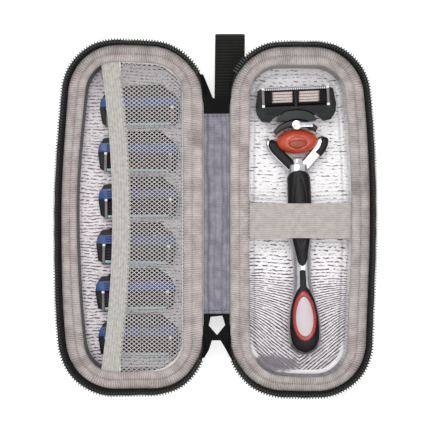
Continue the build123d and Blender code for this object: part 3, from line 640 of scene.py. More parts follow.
@dataclass(frozen=True)
class Foil(Finish):
    """Crinkled silver film, with broken creases that run across the tray, painted dark as their shade.

    Its low end is darker and its creases fan out there. The pairs named low are the places along
    the tray between which such a change runs out. The patch is the middle, half length and half
    width of a dark, smooth place, and the lip is the width of the tray's rounded foot.
    """

    # Crease colours are painted shade along the creases; the lip colour is a painted highlight and the end
    # colour is painted shade near the tray's ends.
    crease: Colour = (0.2, 0.2, 0.22)
    warm: Colour = (0.84, 0.77, 0.78)
    faint: Colour = (0.17, 0.15, 0.17)
    low_tone: Colour = (0.5, 0.41, 0.47)
    lip_highlight: Colour = srgb(253, 252, 253)
    patch_colour: Colour = srgb(122, 118, 124)
    end_shade_colour: Colour = srgb(112, 109, 114)
    dull: float = 0.0
    pitch: float = 1.9
    slant: float = 0.1
    broken: float = 0.5
    low_broken: float = 0.5
    depth: float = 0.2
    metallic: float = 0.12
    fan: float = 0.0
    fan_middle: float = 45.0
    patch: tuple[Pair, Pair] = ((30.0, -81.5), (19.0, 5.5))
    low_gaps: Pair = (-58.0, -10.0)
    low_dull: Pair = (-66.0, 0.0)
    low_crease: Pair = (-58.0, 20.0)
    low_fan: Pair = (-62.0, -30.0)
    low_lip: Pair = (-76.0, -66.0)
    ends: Pair = (70.0, 78.0)
    end_painted_shade: float = 0.0
    lip: float = 0.0

    def dress(self, graph: Graph, ports: bpy.types.NodeInputs) -> None:
        """Adds creases and dents with painted shade, warm patches and changes of gloss."""
        place = graph.lay(False)
        y = graph.split(place)[1]
        gaps = graph.span(y, *self.low_gaps, self.low_broken, self.broken)
        bent = self.fanned(graph, place) if self.fan else place
        ripple, lines = Effect.RIPPLE.place(graph, bent, pitch=self.pitch, slant=self.slant, gaps=gaps)
        _, patches = Effect.MOTTLE.place(graph, place, scale=0.05)
        crumb, dents = Effect.MOTTLE.place(graph, place, scale=1.4)
        base = graph.mix(graph.times(patches, 0.35), self.colour, self.warm)
        base = graph.mix(graph.span(y, *self.low_dull, self.dull, 0.0), base, self.low_tone)
        # Painted shade: dark broken lines along the creases and in the small dents.
        crumbled = graph.times(graph.span(dents, 0.6, 1.0), 0.35)
        dark = graph.math("MAXIMUM", lines, crumbled, clamp=True)
        line = graph.mix(graph.span(y, *self.low_crease), self.crease, self.faint)
        shade = graph.mix(dark, base, line)
        # Painted highlight on the foot's lip, with a thin painted shade line inside it.
        if self.lip:
            shade = self.lipped(graph, y, shade)
        # A dark, smooth patch near the lower end, laid over the creases.
        if self.fan:
            shade = graph.mix(self.smoothed(graph, place), shade, self.patch_colour)
        # Painted shade that darkens the colour towards the tray's ends.
        if self.end_painted_shade:
            ends = graph.span(graph.math("ABSOLUTE", graph.plus(y, 4.0)), *self.ends)
            shade = graph.mix(graph.times(ends, self.end_painted_shade), shade, self.end_shade_colour)
        graph.join(shade, ports["Base Color"])
        graph.join(graph.scaled(crumb, 0.15, self.roughness), ports["Roughness"])
        graph.join(graph.bump(graph.scaled(crumb, 0.3, ripple), self.depth), ports["Normal"])
        self.set(ports, {"Metallic": self.metallic})

    def lipped(self, graph: Graph, y: Socket, shade: Socket) -> Socket:
        """Colour with a painted highlight on the rounded foot's lip at the lower end, and a thin painted
        shade line inside it.
        """
        inward = graph.split(graph.lay(True))[0]
        edge = graph.times(graph.span(inward, self.lip, self.lip + 1.2),
                           graph.span(inward, self.lip + 1.4, self.lip + 2.4, 1.0, 0.0))
        shade = graph.mix(graph.times(edge, 0.25), shade, self.crease)
        bright = graph.times(graph.span(inward, self.lip - 0.6, self.lip + 0.4, 1.0, 0.0),
                             graph.span(y, *self.low_lip, 1.0, 0.0))
        return graph.mix(bright, shade, self.lip_highlight)

    def fanned(self, graph: Graph, place: Socket) -> Socket:
        """Place bent so that the creases fan out from the middle of the tray's lower end."""
        x, y, z = graph.split(place)
        slope = graph.span(y, *self.low_fan, self.fan, 0.0)
        bent = graph.minus(y, graph.times(slope, graph.apart(x, self.fan_middle)))
        return graph.node("ShaderNodeCombineXYZ", {"X": x, "Y": bent, "Z": z}).outputs[0]

    def smoothed(self, graph: Graph, place: Socket) -> Socket:
        """Mask of a dark, smooth patch near the lower end of the tray."""
        x, y = (graph.math("DIVIDE", graph.minus(length, middle), half)
                for length, middle, half in zip(graph.split(place), *self.patch))
        far = graph.plus(graph.times(x, x), graph.times(y, y))
        rough = graph.times(graph.noise(place, 0.3, 4.0, 0.7), 2.4)
        return graph.span(graph.plus(far, rough), 1.5, 2.2, 0.9, 0.0)


@dataclass(frozen=True)
class Moulded(Finish):
    """Moulded plastic or rubber, with a fine grain and slightly uneven gloss."""

    grain: float = 1.5
    depth: float = 0.02
    vary: float = 0.15
    coat: float = 0.0
    specular: float = 0.5
    worn: Colour = (0.0, 0.0, 0.0)

    def dress(self, graph: Graph, ports: bpy.types.NodeInputs) -> None:
        """Adds grain, tone and wear."""
        place = graph.lay(False)
        grain, _ = Effect.MOTTLE.place(graph, place, scale=self.grain)
        _, tone = Effect.MOTTLE.place(graph, place, scale=0.12)
        _, wear = Effect.WEAR.place(graph, place, scale=1.1)
        worn = graph.scaled(wear, self.vary * 0.5, graph.times(tone, self.vary), clamp=True)
        graph.join(graph.mix(worn, self.colour, self.worn), ports["Base Color"])
        graph.join(graph.scaled(grain, 0.14, self.roughness - 0.07, clamp=True), ports["Roughness"])
        graph.join(graph.bump(grain, self.depth), ports["Normal"])
        self.set(ports, {"Coat Weight": self.coat, "Specular IOR Level": self.specular})


@dataclass(frozen=True)
class Metal(Finish):
    """Polished or brushed metal, with faint rub marks and smudges."""

    tarnish: Colour = (0.3, 0.3, 0.32)
    rub: float = 0.12
    depth: float = 0.004

    def dress(self, graph: Graph, ports: bpy.types.NodeInputs) -> None:
        """Adds rub marks, smudges and dark streaks."""
        place = graph.lay(False)
        height, marks = Effect.WEAR.place(graph, place, scale=1.8)
        smear, smudge = Effect.MOTTLE.place(graph, place, scale=0.25)
        dark = graph.scaled(marks, self.rub, graph.times(smudge, self.rub), clamp=True)
        graph.join(graph.mix(dark, self.colour, self.tarnish), ports["Base Color"])
        graph.join(graph.scaled(smear, 0.1, self.roughness, clamp=True), ports["Roughness"])
        graph.join(graph.bump(height, self.depth), ports["Normal"])
        self.set(ports, {"Metallic": 1.0})


@dataclass(frozen=True)
class BladeMetal(Metal):
    """Dark blade steel with two fields of painted reflection along the ground edges, in places of the case.
    """

    shine: Colour = (0.72, 0.62, 0.58)
    middle: float = 42.4
    inner: float = 1.9
    outer: float = 12.6
    low: float = 60.0
    high: float = 65.2
    tilt: float = 0.04

    def dress(self, graph: Graph, ports: bpy.types.NodeInputs) -> None:
        """Adds the painted reflection fields to the steel's rub marks."""
        place = graph.lay(False)
        x, y, _ = graph.split(place)
        away = graph.plus(graph.apart(x, self.middle), graph.times(graph.noise(place, 1.5), 0.8))
        up = graph.minus(y, graph.times(graph.minus(x, self.middle), self.tilt))
        marks, _ = Effect.WEAR.place(graph, place, scale=1.8)
        # Painted reflection: two bright fields on the blades.
        lit = graph.times(graph.span(away, self.inner, self.inner + 0.8),
                          graph.span(away, self.outer - 0.6, self.outer + 0.8, 1.0, 0.0))
        lit = graph.times(lit, graph.span(up, self.low - 0.4, self.low + 0.3))
        lit = graph.times(lit, graph.span(up, self.high, self.high + 0.8, 1.0, 0.0))
        lit = graph.times(lit, graph.scaled(marks, 0.6, 0.5), clamp=True)
        graph.join(graph.mix(lit, self.colour, self.shine), ports["Base Color"])
        graph.join(graph.scaled(lit, 0.25, self.roughness, clamp=True), ports["Roughness"])
        graph.join(graph.bump(marks, self.depth), ports["Normal"])
        graph.join(graph.scaled(lit, -0.7, 1.0, clamp=True), ports["Metallic"])


@dataclass(frozen=True)
class Paper(Finish):
    """Seamless white backdrop that stays white in the picture and keeps a faint shadow."""

    glow: float = 0.62
    grey: Colour = (0.9, 0.9, 0.9)

    def dress(self, graph: Graph, ports: bpy.types.NodeInputs) -> None:
        """Adds a paper grain, and the glow that only the camera and reflections see."""
        _, grain = Effect.MOTTLE.place(graph, graph.lay(False), scale=0.4)
        graph.join(graph.mix(graph.times(grain, 0.02), self.colour, self.grey), ports["Base Color"])
        light = graph.node("ShaderNodeLightPath").outputs
        seen = graph.math("MAXIMUM", light["Is Camera Ray"], light["Is Glossy Ray"])
        seen = graph.math("MAXIMUM", seen, light["Is Transmission Ray"])
        graph.join(graph.times(seen, self.glow), ports["Emission Strength"])
        self.set(ports, {"Emission Color": (1.0, 1.0, 1.0, 1.0), "Specular IOR Level": 0.1})


class Look:
    """Finishes of the box, the razor and the spare cartridges."""

    SHELL = Cloth("moulded_shell", srgb(22, 22, 22), 0.8, shade=srgb(5, 5, 6), warp=0.55, weft=0.55,
                  depth=0.12, contrast=0.7, blotch=0.2, on_uv=True, sheen=0.08)
    # The binding's dark crease is painted shade.
    BINDING = Band("ribbed_binding", srgb(212, 202, 199), 0.85, shade=srgb(112, 103, 101),
                    pattern=Pattern.RIBBED, warp=1.15, depth=0.3, contrast=0.5, blotch=0.42,
                    blotch_size=0.14)
    # In the foils, crease colours are painted shade, the right foil's lip is a painted highlight and the
    # wall's darkening at the ends is painted shade.
    FOIL_RIGHT = Foil("silver_foil", srgb(250, 249, 250), 0.34, crease=srgb(34, 25, 38), slant=0.0,
                      pitch=2.0, fan=0.8, broken=0.545, low_broken=0.36, lip=8.0, dull=0.3)
    FOIL_LEFT = Foil("silver_foil_left", srgb(242, 234, 239), 0.34, crease=srgb(70, 62, 70),
                     slant=0.02, pitch=1.75, broken=0.48, low_broken=0.47)
    FOIL_WALL = Foil("silver_foil_wall", srgb(250, 249, 250), 0.3, crease=srgb(120, 114, 124), slant=0.0,
                     pitch=1.8, broken=0.6, low_broken=0.5, end_painted_shade=0.85)
    TAPE = Cloth("zip_tape", srgb(8, 8, 7), 0.85, shade=srgb(2, 2, 2), pattern=Pattern.RIBBED,
                 warp=0.7, depth=0.15, contrast=0.6, blotch=0.15, sheen=0.06)
    TEETH = Moulded("zip_teeth", srgb(14, 14, 14), 0.5, grain=2.5, vary=0.3, worn=srgb(60, 60, 60))
    WEBBING = Cloth("black_webbing", srgb(36, 36, 33), 0.8, shade=srgb(3, 3, 3), pattern=Pattern.RIBBED,
                    warp=1.6, depth=0.35, contrast=0.85, blotch=0.15, sheen=0.08)
    ELASTIC = Cloth("grey_elastic", srgb(197, 195, 189), 0.85, shade=srgb(128, 126, 120),
                    pattern=Pattern.RIBBED, warp=1.4, depth=0.2, contrast=0.3, blotch=0.4,
                    blotch_size=0.5, across=True)
    STRAP = Cloth("strap_elastic", srgb(195, 187, 183), 0.85, shade=srgb(122, 114, 110),
                  pattern=Pattern.RIBBED, warp=1.1, depth=0.2, contrast=0.38, blotch=0.3,
                  blotch_size=0.3, across=True)
    NET = Cloth("pocket_net", srgb(226, 223, 222), 0.75, shade=srgb(160, 156, 156), warp=0.5, weft=0.35,
                depth=0.06, contrast=0.35, blotch=0.15, on_uv=False)
    DARK_THREAD = Cloth("dark_thread", srgb(52, 48, 50), 0.8, shade=srgb(20, 18, 20), warp=0.3,
                        weft=0.3, depth=0.04, contrast=0.3, on_uv=False)
    BLACK_CLOTH = Cloth("black_fabric", srgb(16, 16, 15), 0.85, shade=srgb(4, 4, 4), warp=0.6, weft=0.6,
                        depth=0.12, contrast=0.6, blotch=0.2, on_uv=False, sheen=0.06)
    # The lining's dark fold bands are painted shade.
    LINING = Lining("spine_lining", srgb(160, 156, 166), 0.85, shade=srgb(76, 75, 92),
                    pattern=Pattern.RIBBED, warp=0.85, depth=0.2, contrast=0.22, blotch=0.45,
                    blotch_size=0.2)
    SLIDER = Metal("slider_metal", srgb(30, 30, 32), 0.3, tarnish=srgb(90, 90, 92), rub=0.25)
    CHROME = Metal("chrome", srgb(208, 208, 214), 0.12, tarnish=srgb(70, 70, 76), rub=0.3)
    RUBBER = Moulded("grip_rubber", srgb(13, 13, 14), 0.36, grain=1.8, depth=0.04, vary=0.4,
                     worn=srgb(5, 5, 6), specular=0.25)
    RING = Moulded("ring_red", srgb(178, 44, 34), 0.28, grain=0.8, coat=0.4, vary=0.5,
                   worn=srgb(96, 14, 14))
    INLAY = Moulded("inlay_grey", srgb(194, 184, 189), 0.38, grain=1.0, coat=0.2, vary=0.2,
                    worn=srgb(160, 152, 160))
    BALL = Moulded("ball_orange", srgb(184, 70, 38), 0.24, grain=0.7, coat=0.5, vary=0.5,
                   worn=srgb(150, 32, 18))
    BUTTON = Moulded("button_orange", srgb(146, 58, 28), 0.4, grain=1.2, depth=0.03, vary=0.3,
                     worn=srgb(110, 34, 14))
    HEAD = Moulded("head_plastic", srgb(34, 39, 36), 0.38, grain=1.4, vary=0.35, worn=srgb(16, 18, 18),
                   specular=0.25)
    BLACK = Moulded("cartridge_black", srgb(14, 14, 16), 0.38, grain=1.4, vary=0.35, worn=srgb(5, 5, 6),
                    specular=0.2)
    # Mounted blades: dark steel with painted reflection fields.
    BRIGHT_BLADES = BladeMetal("bright_blades", srgb(40, 37, 38), 0.3, tarnish=srgb(12, 12, 13), rub=0.3)
    CLIP = Metal("blade_clips", srgb(104, 102, 102), 0.34, tarnish=srgb(40, 40, 42), rub=0.5)
    CLIP_TIP = Moulded("clip_tips", srgb(235, 235, 238), 0.3, grain=1.0, vary=0.2, worn=srgb(150, 150, 156))
    # Spare blades: steel painted dark as shadow.
    SHADOWED_BLADE_STEEL = Metal("blade_shadow", srgb(56, 54, 56), 0.4, tarnish=srgb(14, 14, 15), rub=0.3)
    GUARD_BLACK = Moulded("guard_black", srgb(20, 24, 26), 0.5, grain=1.6, vary=0.3, worn=srgb(8, 9, 12),
                          specular=0.25)
    STRIP_WHITE = Moulded("strip_white", srgb(74, 74, 78), 0.35, grain=1.2, vary=0.3,
                          worn=srgb(24, 24, 26))
    GUARD_BLUE = Moulded("guard_blue", srgb(14, 66, 132), 0.38, grain=1.2, vary=0.35, coat=0.2,
                         worn=srgb(12, 44, 96))
    STRIP_PALE = Moulded("strip_pale", srgb(160, 196, 204), 0.35, grain=1.0, vary=0.3,
                         worn=srgb(110, 150, 160))
    BAND = Moulded("swivel_band", srgb(42, 36, 42), 0.35, grain=1.2, vary=0.35, worn=srgb(18, 14, 18),
                   specular=0.3)
    BEAD = Moulded("edge_beads", srgb(214, 212, 214), 0.22, grain=1.2, vary=0.4, coat=0.4,
                   worn=srgb(110, 108, 114))
    # Dark cloth on the left tray's wall, painted shadow between the binding and the foil.
    SHADOW_WALL_LEFT = Cloth("tray_wall_painted_shadow", srgb(56, 56, 60), 0.6, shade=srgb(24, 24, 28), warp=0.7,
                      depth=0.1, contrast=0.3, blotch=0.3)
    PAPER = Paper("backdrop_paper", (0.62, 0.62, 0.62), 0.9)


def geometry_tree(name: str, kinds: dict[str, str]) -> Graph:
    """Starts a Geometry Nodes tree that takes a geometry, some sizes and a finish.

    Args:
        name: Name of the tree.
        kinds: Kind of each size, by name.

    Returns:
        The new tree's graph.
    """
    tree = bpy.data.node_groups.new(name, "GeometryNodeTree")
    for label, kind in {"Geometry": "Geometry", **kinds, "Finish": "Material"}.items():
        tree.interface.new_socket(label, in_out="INPUT", socket_type=f"NodeSocket{kind}")
    tree.interface.new_socket("Geometry", in_out="OUTPUT", socket_type="NodeSocketGeometry")
    return Graph(tree)


def end_tree(graph: Graph, made: Socket, finish: Socket) -> bpy.types.NodeTree:
    """Ends a Geometry Nodes tree with Realize Instances and Set Material, and gives the tree."""
    real = graph.node("GeometryNodeRealizeInstances", {"Geometry": made})
    dressed = graph.node("GeometryNodeSetMaterial", {"Geometry": real.outputs[0], "Material": finish})
    graph.node("NodeGroupOutput", {"Geometry": dressed.outputs[0]})
    return graph.tree


def guide(name: str, places: Sequence[Point], edges: Sequence[tuple[int, int]] = ()) -> bpy.types.Object:
    """Links loose points and edges, from which a Geometry Nodes tree starts.

    Args:
        name: Name of the piece that the tree makes.
        places: Points, in millimetres of the open case.
        edges: Pairs of points that are joined.

    Returns:
        The linked guide.
    """
    flat = np.array(places, float) + (0, CASE_SHIFT, 0)
    mesh = bpy.data.meshes.new(f"{name}_guide")
    mesh.from_pydata((flat * MM).tolist(), list(edges), [])
    return link(f"{name}_guide", mesh)


def grow(name: str, start: bpy.types.Object, tree: bpy.types.NodeTree,
         values: dict[str, object]) -> bpy.types.Object:
    """Runs a Geometry Nodes tree on a guide and keeps the result as a plain mesh.

    Args:
        name: Name of the new piece.
        start: Guide that the tree starts from, which is removed afterwards.
        tree: Geometry Nodes tree.
        values: Value of each named input.

    Returns:
        The linked object, with no modifier left on it.
    """
    modifier = start.modifiers.new("tree", "NODES")
    modifier.node_group = tree
    for item in tree.interface.items_tree:
        if item.item_type == "SOCKET" and item.in_out == "INPUT" and item.name in values:
            modifier[item.identifier] = values[item.name]
    bpy.context.view_layer.update()
    mesh = bpy.data.meshes.new_from_object(start.evaluated_get(bpy.context.evaluated_depsgraph_get()))
    mesh.name = name
    bpy.data.objects.remove(start)
    return link(name, mesh)


class Repeat:
    """Geometry Nodes tree that sets a small peg along a line, at an even pitch."""

    NAME = "pegs along a line"

    @classmethod
    def tree(cls) -> bpy.types.NodeTree:
        """The tree, built on first use, with its sizes as named inputs."""
        found = bpy.data.node_groups.get(cls.NAME)
        if found:
            return found
        graph = geometry_tree(cls.NAME, {"Pitch": "Float", "Size": "Vector", "Lift": "Float",
                                         "Sides": "Int"})
        given = graph.inputs()
        line = graph.node("GeometryNodeMeshToCurve", {"Mesh": given["Geometry"]})
        even = graph.node("GeometryNodeResampleCurve", {"Curve": line.outputs["Curve"],
                                                        "Length": given["Pitch"]}, mode="LENGTH")
        peg = graph.node("GeometryNodeMeshCylinder", {"Vertices": given["Sides"], "Radius": 0.5,
                                                      "Depth": 1.0}, fill_type="NGON")
        along = graph.node("GeometryNodeInputTangent")
        facing = graph.node("FunctionNodeAlignRotationToVector", {"Vector": along.outputs[0]},
                            axis="X", pivot_axis="Z")
        put = graph.node("GeometryNodeInstanceOnPoints", {
            "Points": even.outputs["Curve"], "Instance": peg.outputs["Mesh"],
            "Rotation": facing.outputs[0], "Scale": given["Size"]})
        offset = graph.node("ShaderNodeCombineXYZ", {"Z": given["Lift"]})
        raised = graph.node("GeometryNodeTranslateInstances", {"Instances": put.outputs[0],
                                                               "Translation": offset.outputs[0]})
        return end_tree(graph, raised.outputs[0], given["Finish"])

    @classmethod
    def along(cls, name: str, line: Sequence[Point], finish: Finish, pitch: float, size: Point,
              lift: float = 0.0, sides: int = 6) -> bpy.types.Object:
        """Sets pegs along a line and returns them as one plain mesh.

        Args:
            name: Name of the new piece.
            line: Points of the line, in millimetres of the open case.
            finish: Finish of the pegs.
            pitch: Distance between two pegs, in millimetres.
            size: Length along the line, width across it and height of a peg, in millimetres.
            lift: Rise of a peg's middle above the line, in millimetres.
            sides: Sides of a peg's outline.

        Returns:
            The linked object.
        """
        start = guide(name, line, [(i, i + 1) for i in range(len(line) - 1)])
        return grow(name, start, cls.tree(), {
            "Pitch": pitch * MM, "Size": tuple(value * MM for value in size), "Lift": lift * MM,
            "Sides": sides, "Finish": finish.make()})


class Place:
    """How pieces are taken from the frame and handed back to it."""

    @staticmethod
    def ride(piece: bpy.types.Object, body: str, slot: str, *nodes: str) -> bpy.types.Object:
        """Lets a piece ride on a body and hides the nodes that it replaces."""
        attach(piece, body)
        if nodes:
            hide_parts(*nodes)
        LOG.info("%s rides on %s, %d faces", piece.name, body, len(piece.data.polygons))
        return piece

    @staticmethod
    def corners(node: str) -> np.ndarray:
        """Corners of a solid of the frame, in millimetres of the row frame."""
        return np.array([tuple(point.co) for point in bpy.data.objects[node].data.vertices]) / MM

    @staticmethod
    def keep_spans(form: bmesh.types.BMesh, span: Pair) -> None:
        """Deletes the separate pieces of a mesh whose reach along X isn't within a span."""
        left = set(form.verts)
        while left:
            island, edge = set(), [left.pop()]
            while edge:
                point = edge.pop()
                island.add(point)
                for line in point.link_edges:
                    other = line.other_vert(point)
                    if other in left:
                        left.discard(other)
                        edge.append(other)
            xs = [point.co.x / MM for point in island]
            if not span[0] <= max(xs) - min(xs) <= span[1]:
                bmesh.ops.delete(form, geom=list(island), context="VERTS")

    @staticmethod
    def softened(node: str, name: str, finish: Finish, bevel: float, segments: int = 2,
                 span: Pair = (0.0, 1000.0)) -> bpy.types.Object:
        """Copy of a solid, or of some of its separate pieces, with rounded edges.

        Args:
            node: Name of the solid of the frame.
            name: Name of the copy.
            finish: Finish of the copy.
            bevel: Width of the rounding, in millimetres.
            segments: Faces across the rounding.
            span: Least and greatest reach along X of the pieces to keep, in millimetres.

        Returns:
            The linked copy, with no modifier left on it.
        """
        mesh = bpy.data.objects[node].data.copy()
        mesh.name = name
        form = bmesh.new()
        form.from_mesh(mesh)
        bmesh.ops.remove_doubles(form, verts=form.verts, dist=WELD * MM)
        Place.keep_spans(form, span)
        bmesh.ops.dissolve_limit(form, angle_limit=math.radians(2), verts=form.verts, edges=form.edges)
        bmesh.ops.recalc_face_normals(form, faces=form.faces)
        form.to_mesh(mesh)
        form.free()
        mesh.materials.clear()
        mesh.materials.append(finish.make())
        copy = link(name, mesh)
        rounding = copy.modifiers.new("rounding", "BEVEL")
        rounding.width = bevel * MM
        rounding.segments = segments
        rounding.limit_method = "ANGLE"
        rounding.angle_limit = math.radians(35)
        rounding.harden_normals = False
        bpy.context.view_layer.update()
        ready = copy.evaluated_get(bpy.context.evaluated_depsgraph_get())
        copy.data = bpy.data.meshes.new_from_object(ready)
        copy.modifiers.clear()
        for face in copy.data.polygons:
            face.use_smooth = True
        copy.data.set_sharp_from_angle(angle=math.radians(32))
        return copy


def lerp(first: np.ndarray, second: np.ndarray, share: float) -> np.ndarray:
    """Points at a share of the way from the first to the second."""
    return first + (second - first) * share


def eased(share: np.ndarray) -> np.ndarray:
    """Share from 0 to 1 that starts and ends softly."""
    return share * share * (3 - 2 * share)


def oval(half_x: float, half_y: float, count: int, power: float = 2.0) -> np.ndarray:
    """Corners of an oval, or of a rounded oblong where the power is above 2.

    Args:
        half_x: Half its width.
        half_y: Half its length.
        count: Number of corners.
        power: Power of the outline, 2 for an ellipse.

    Returns:
        Array of pairs.
    """
    turns = np.linspace(0, 2 * np.pi, count, endpoint=False)
    cos, sin = np.cos(turns), np.sin(turns)
    return np.column_stack([half_x * np.sign(cos) * np.abs(cos)**(2 / power),
                            half_y * np.sign(sin) * np.abs(sin)**(2 / power)])


@dataclass
class HalfCase:
    """One half of the case: shell, foil tray, binding, zip tape and zip teeth."""

    side: Side
    base_round: float = 7.0
    foot_inset: float = 7.3
    wall_inset: float = 5.3
    tray_lean: float = 1.0
    liner: float = 0.8
    floor_round: float = 2.2
    tape_thick: float = 0.9
    tape_bottom: float = -74.5
    tape_top: float = 76.0
    tape_low: float = 56.0
    tooth_pitch: float = 1.5
    tooth: Point = (0.8, 2.85, 1.3)
    step: float = 1.4
    tape_step: float = 0.8
    tape_side: float = 7.0
    fall_side: float = 12.0
    middle: float = 44.0
    half_wide: float = 38.0
    spine_lap: float = 0.75
    spine_blur: int = 6
    rim: RimPath = field(init=False)
    tray: RimPath = field(init=False)

    def __post_init__(self) -> None:
        """Sets the outlines, which soft cloth has pushed a little out of shape."""
        if self.side is Side.LEFT:
            rim = (((82, 0), (0.9, 0.0), 60), ((80, -55), (1.3, 0.0), 30), ((70, -84), (0.9, -1.6), 26),
                   ((68, 84), (0.9, 1.2), 26), ((45, 91), (0.0, 1.0), 30), ((18, -84), (-0.3, -1.2), 20))
            tray = (((8, 0), (-0.9, 0.0), 60), ((48, 91), (0.0, 1.0), 32), ((48, -91), (0.0, -1.0), 32),
                    ((82, 10), (2.2, 0.0), 62))
        else:
            rim = (((45, -91), (0.0, -1.6), 36), ((70, -82), (1.9, -1.0), 26), ((45, 91), (0.0, 0.7), 45),
                   ((18, -84), (-0.2, -0.5), 18))
            tray = (((8, 0), (-0.9, 0.0), 60), ((48, -91), (0.0, -2.6), 32), ((82, 0), (0.4, 0.0), 60))
        self.rim = RimPath(pushes=rim)
        self.tray = RimPath(corner=26.0, pushes=rim + tray)

    def lean(self, points: np.ndarray) -> np.ndarray:
        """How far the tape's free edge leans out at places on the rim, in millimetres."""
        turns = np.degrees(np.arctan2(points[:, 1] / RIM_END,
                                      (points[:, 0] - self.middle) / self.half_wide))
        side = 2.3 if self.side is Side.LEFT else 1.7
        return smooth_line((-180, -135, -90, -45, 0, 45, 90, 135, 180),
                           (1.5, 1.6, 1.9, side, side, 1.7, 0.9, 1.3, 1.5), turns)

    def stand(self, points: np.ndarray) -> np.ndarray:
        """Share of its full height at which the tape stands: it runs out along the spine."""
        share = np.clip((np.abs(points[:, 1]) - self.tape_low) / (self.tape_top - self.tape_low), 0.08, 1)
        return np.where(points[:, 0] < PIVOT_X + self.fall_side, eased(share), 1.0)

    def build(self) -> None:
        """Builds and hands over every piece of the half."""
        self.shell()
        self.foil()
        self.tray_wall()
        self.binding()
        self.tape()
        self.teeth()

    def ring(self, path: RimPath, inset: float, height: float) -> np.ndarray:
        """Closed line round the half, at one inset and height."""
        points, normals = path.walk(self.step)
        flat = points - normals * inset
        return np.column_stack([flat, np.full(len(flat), height)])

    def bare(self, points: np.ndarray) -> np.ndarray:
        """Which places lie on the straight side at the spine, where no tape is sewn."""
        return ((points[:, 0] < PIVOT_X + self.tape_side) & (points[:, 1] > self.tape_bottom)
                & (points[:, 1] < self.tape_top))

    def shell(self) -> None:
        """Moulded shell with its rounded foot and sewing flange."""
        rings = []
        for turn in np.radians(np.linspace(0, 90, 9)):
            height = self.base_round * (1 - math.cos(turn))
            lean = (self.foot_inset - self.wall_inset) * height / FLANGE_LOW
            inset = self.foot_inset - lean + self.base_round * (1 - math.sin(turn))
            rings.append(self.ring(self.rim, inset, height))
        rings.append(self.ring(self.rim, self.wall_inset + 0.5, FLANGE_LOW - 1.2))
        for inset, height in ((self.wall_inset - 0.1, FLANGE_LOW - 0.1), (0.5, FLANGE_LOW),
                              (0.05, FLANGE_LOW + 0.5), (0.0, FLANGE_TOP - 0.1), (0.3, FLANGE_TOP)):
            rings.append(self.ring(self.rim, inset, height))
        rings.append(self.ring(self.tray, TRAY_INSET, FLANGE_TOP))
        rings.append(self.ring(self.tray, TRAY_INSET + self.tray_lean, BASE_TOP))
        piece = closed_skin(f"{self.side.word}_shell_skin", rings, Look.SHELL, self.side)
        Place.ride(piece, self.side.body, "moulded_shell", f"{self.side.word}_outer_shell")

    def wall(self, height: float) -> float:
        """Inset of the tray lining's inner face at a height."""
        share = (FLANGE_TOP - height) / (FLANGE_TOP - BASE_TOP)
        return TRAY_INSET + self.liner + self.tray_lean * share

    def foil(self) -> None:
        """Foil floor of the tray, with its rounded foot and soft creases."""
        foot = FLOOR_TOP + self.floor_round
        rings = [self.ring(self.tray, TRAY_INSET + self.tray_lean + 1.5, BASE_TOP + 0.05),
                 self.ring(self.tray, TRAY_INSET + self.tray_lean * 0.95, BASE_TOP + 0.3),
                 self.ring(self.tray, self.wall(foot) - 0.4, foot + 0.2)]
        for turn in np.radians(np.linspace(0, 90, 8)):
            inset = self.wall(foot) + self.floor_round * (1 - math.cos(turn))
            rings.append(self.ring(self.tray, inset, foot - self.floor_round * math.sin(turn)))
        flat_from = len(rings)
        edge = rings[-1]
        middle_x = (edge[:, 0].min() + edge[:, 0].max()) / 2
        reach = edge[:, 1].max() - (edge[:, 0].max() - edge[:, 0].min()) / 2
        centre = np.column_stack([np.full(len(edge), middle_x), np.clip(edge[:, 1], -reach, reach),
                                  edge[:, 2]])
        for share in np.linspace(0, 0.97, 40)[1:]:
            rings.append(lerp(edge, centre, share))
        shape = np.array(rings)
        for row in range(flat_from, len(rings)):
            fade = min(1.0, (row - flat_from + 1) / 4)
            shape[row, :, 2] += fade * self.crease(shape[row, :, 0], shape[row, :, 1])
        finish = Look.FOIL_LEFT if self.side is Side.LEFT else Look.FOIL_RIGHT
        piece = closed_skin(f"{self.side.word}_foil_floor", shape, finish, self.side, sharp=60)
        Place.ride(piece, self.side.body, "silver_foil", f"{self.side.word}_foil_liner")

    @staticmethod
    def crease(x: np.ndarray, y: np.ndarray) -> np.ndarray:
        """Soft rise and fall of the foil, in millimetres, never far above the flat floor."""
        broad = np.sin(y / 2.1 + 1.7 * np.sin(x / 9.0)) * np.sin(x / 13.0 + 0.6 * np.sin(y / 17.0))
        small = np.sin(y / 0.9 + 2.0 * np.sin(x / 6.0 + y / 23.0))
        return -0.12 + 0.12 * broad + 0.05 * small

    def tray_wall(self) -> None:
        """Upright lining of the tray, from the binding down to the foil; on the left half its dark cloth is
        painted shadow.
        """
        foot = FLOOR_TOP + self.floor_round
        profile = [(TRAY_INSET + 0.02, FLANGE_TOP - 0.05)]
        heights = np.linspace(FLANGE_TOP - 0.05, foot, 7)
        profile += [(self.wall(height) - (0.02 if index else 0.1), height)
                    for index, height in enumerate(heights)]
        profile += [(self.wall(foot) - 0.7, foot - 0.3)]
        shape = self.tray.rows(profile, self.step)
        # The left wall's dark cloth is painted shadow.
        finish = Look.SHADOW_WALL_LEFT if self.side is Side.LEFT else Look.FOIL_WALL
        piece = closed_skin(f"{self.side.word}_tray_wall", shape, finish, self.side, ring=True)
        slot = "black_fabric" if self.side is Side.LEFT else "silver_foil"
        Place.ride(piece, self.side.body, slot, f"{self.side.word}_foil_liner")

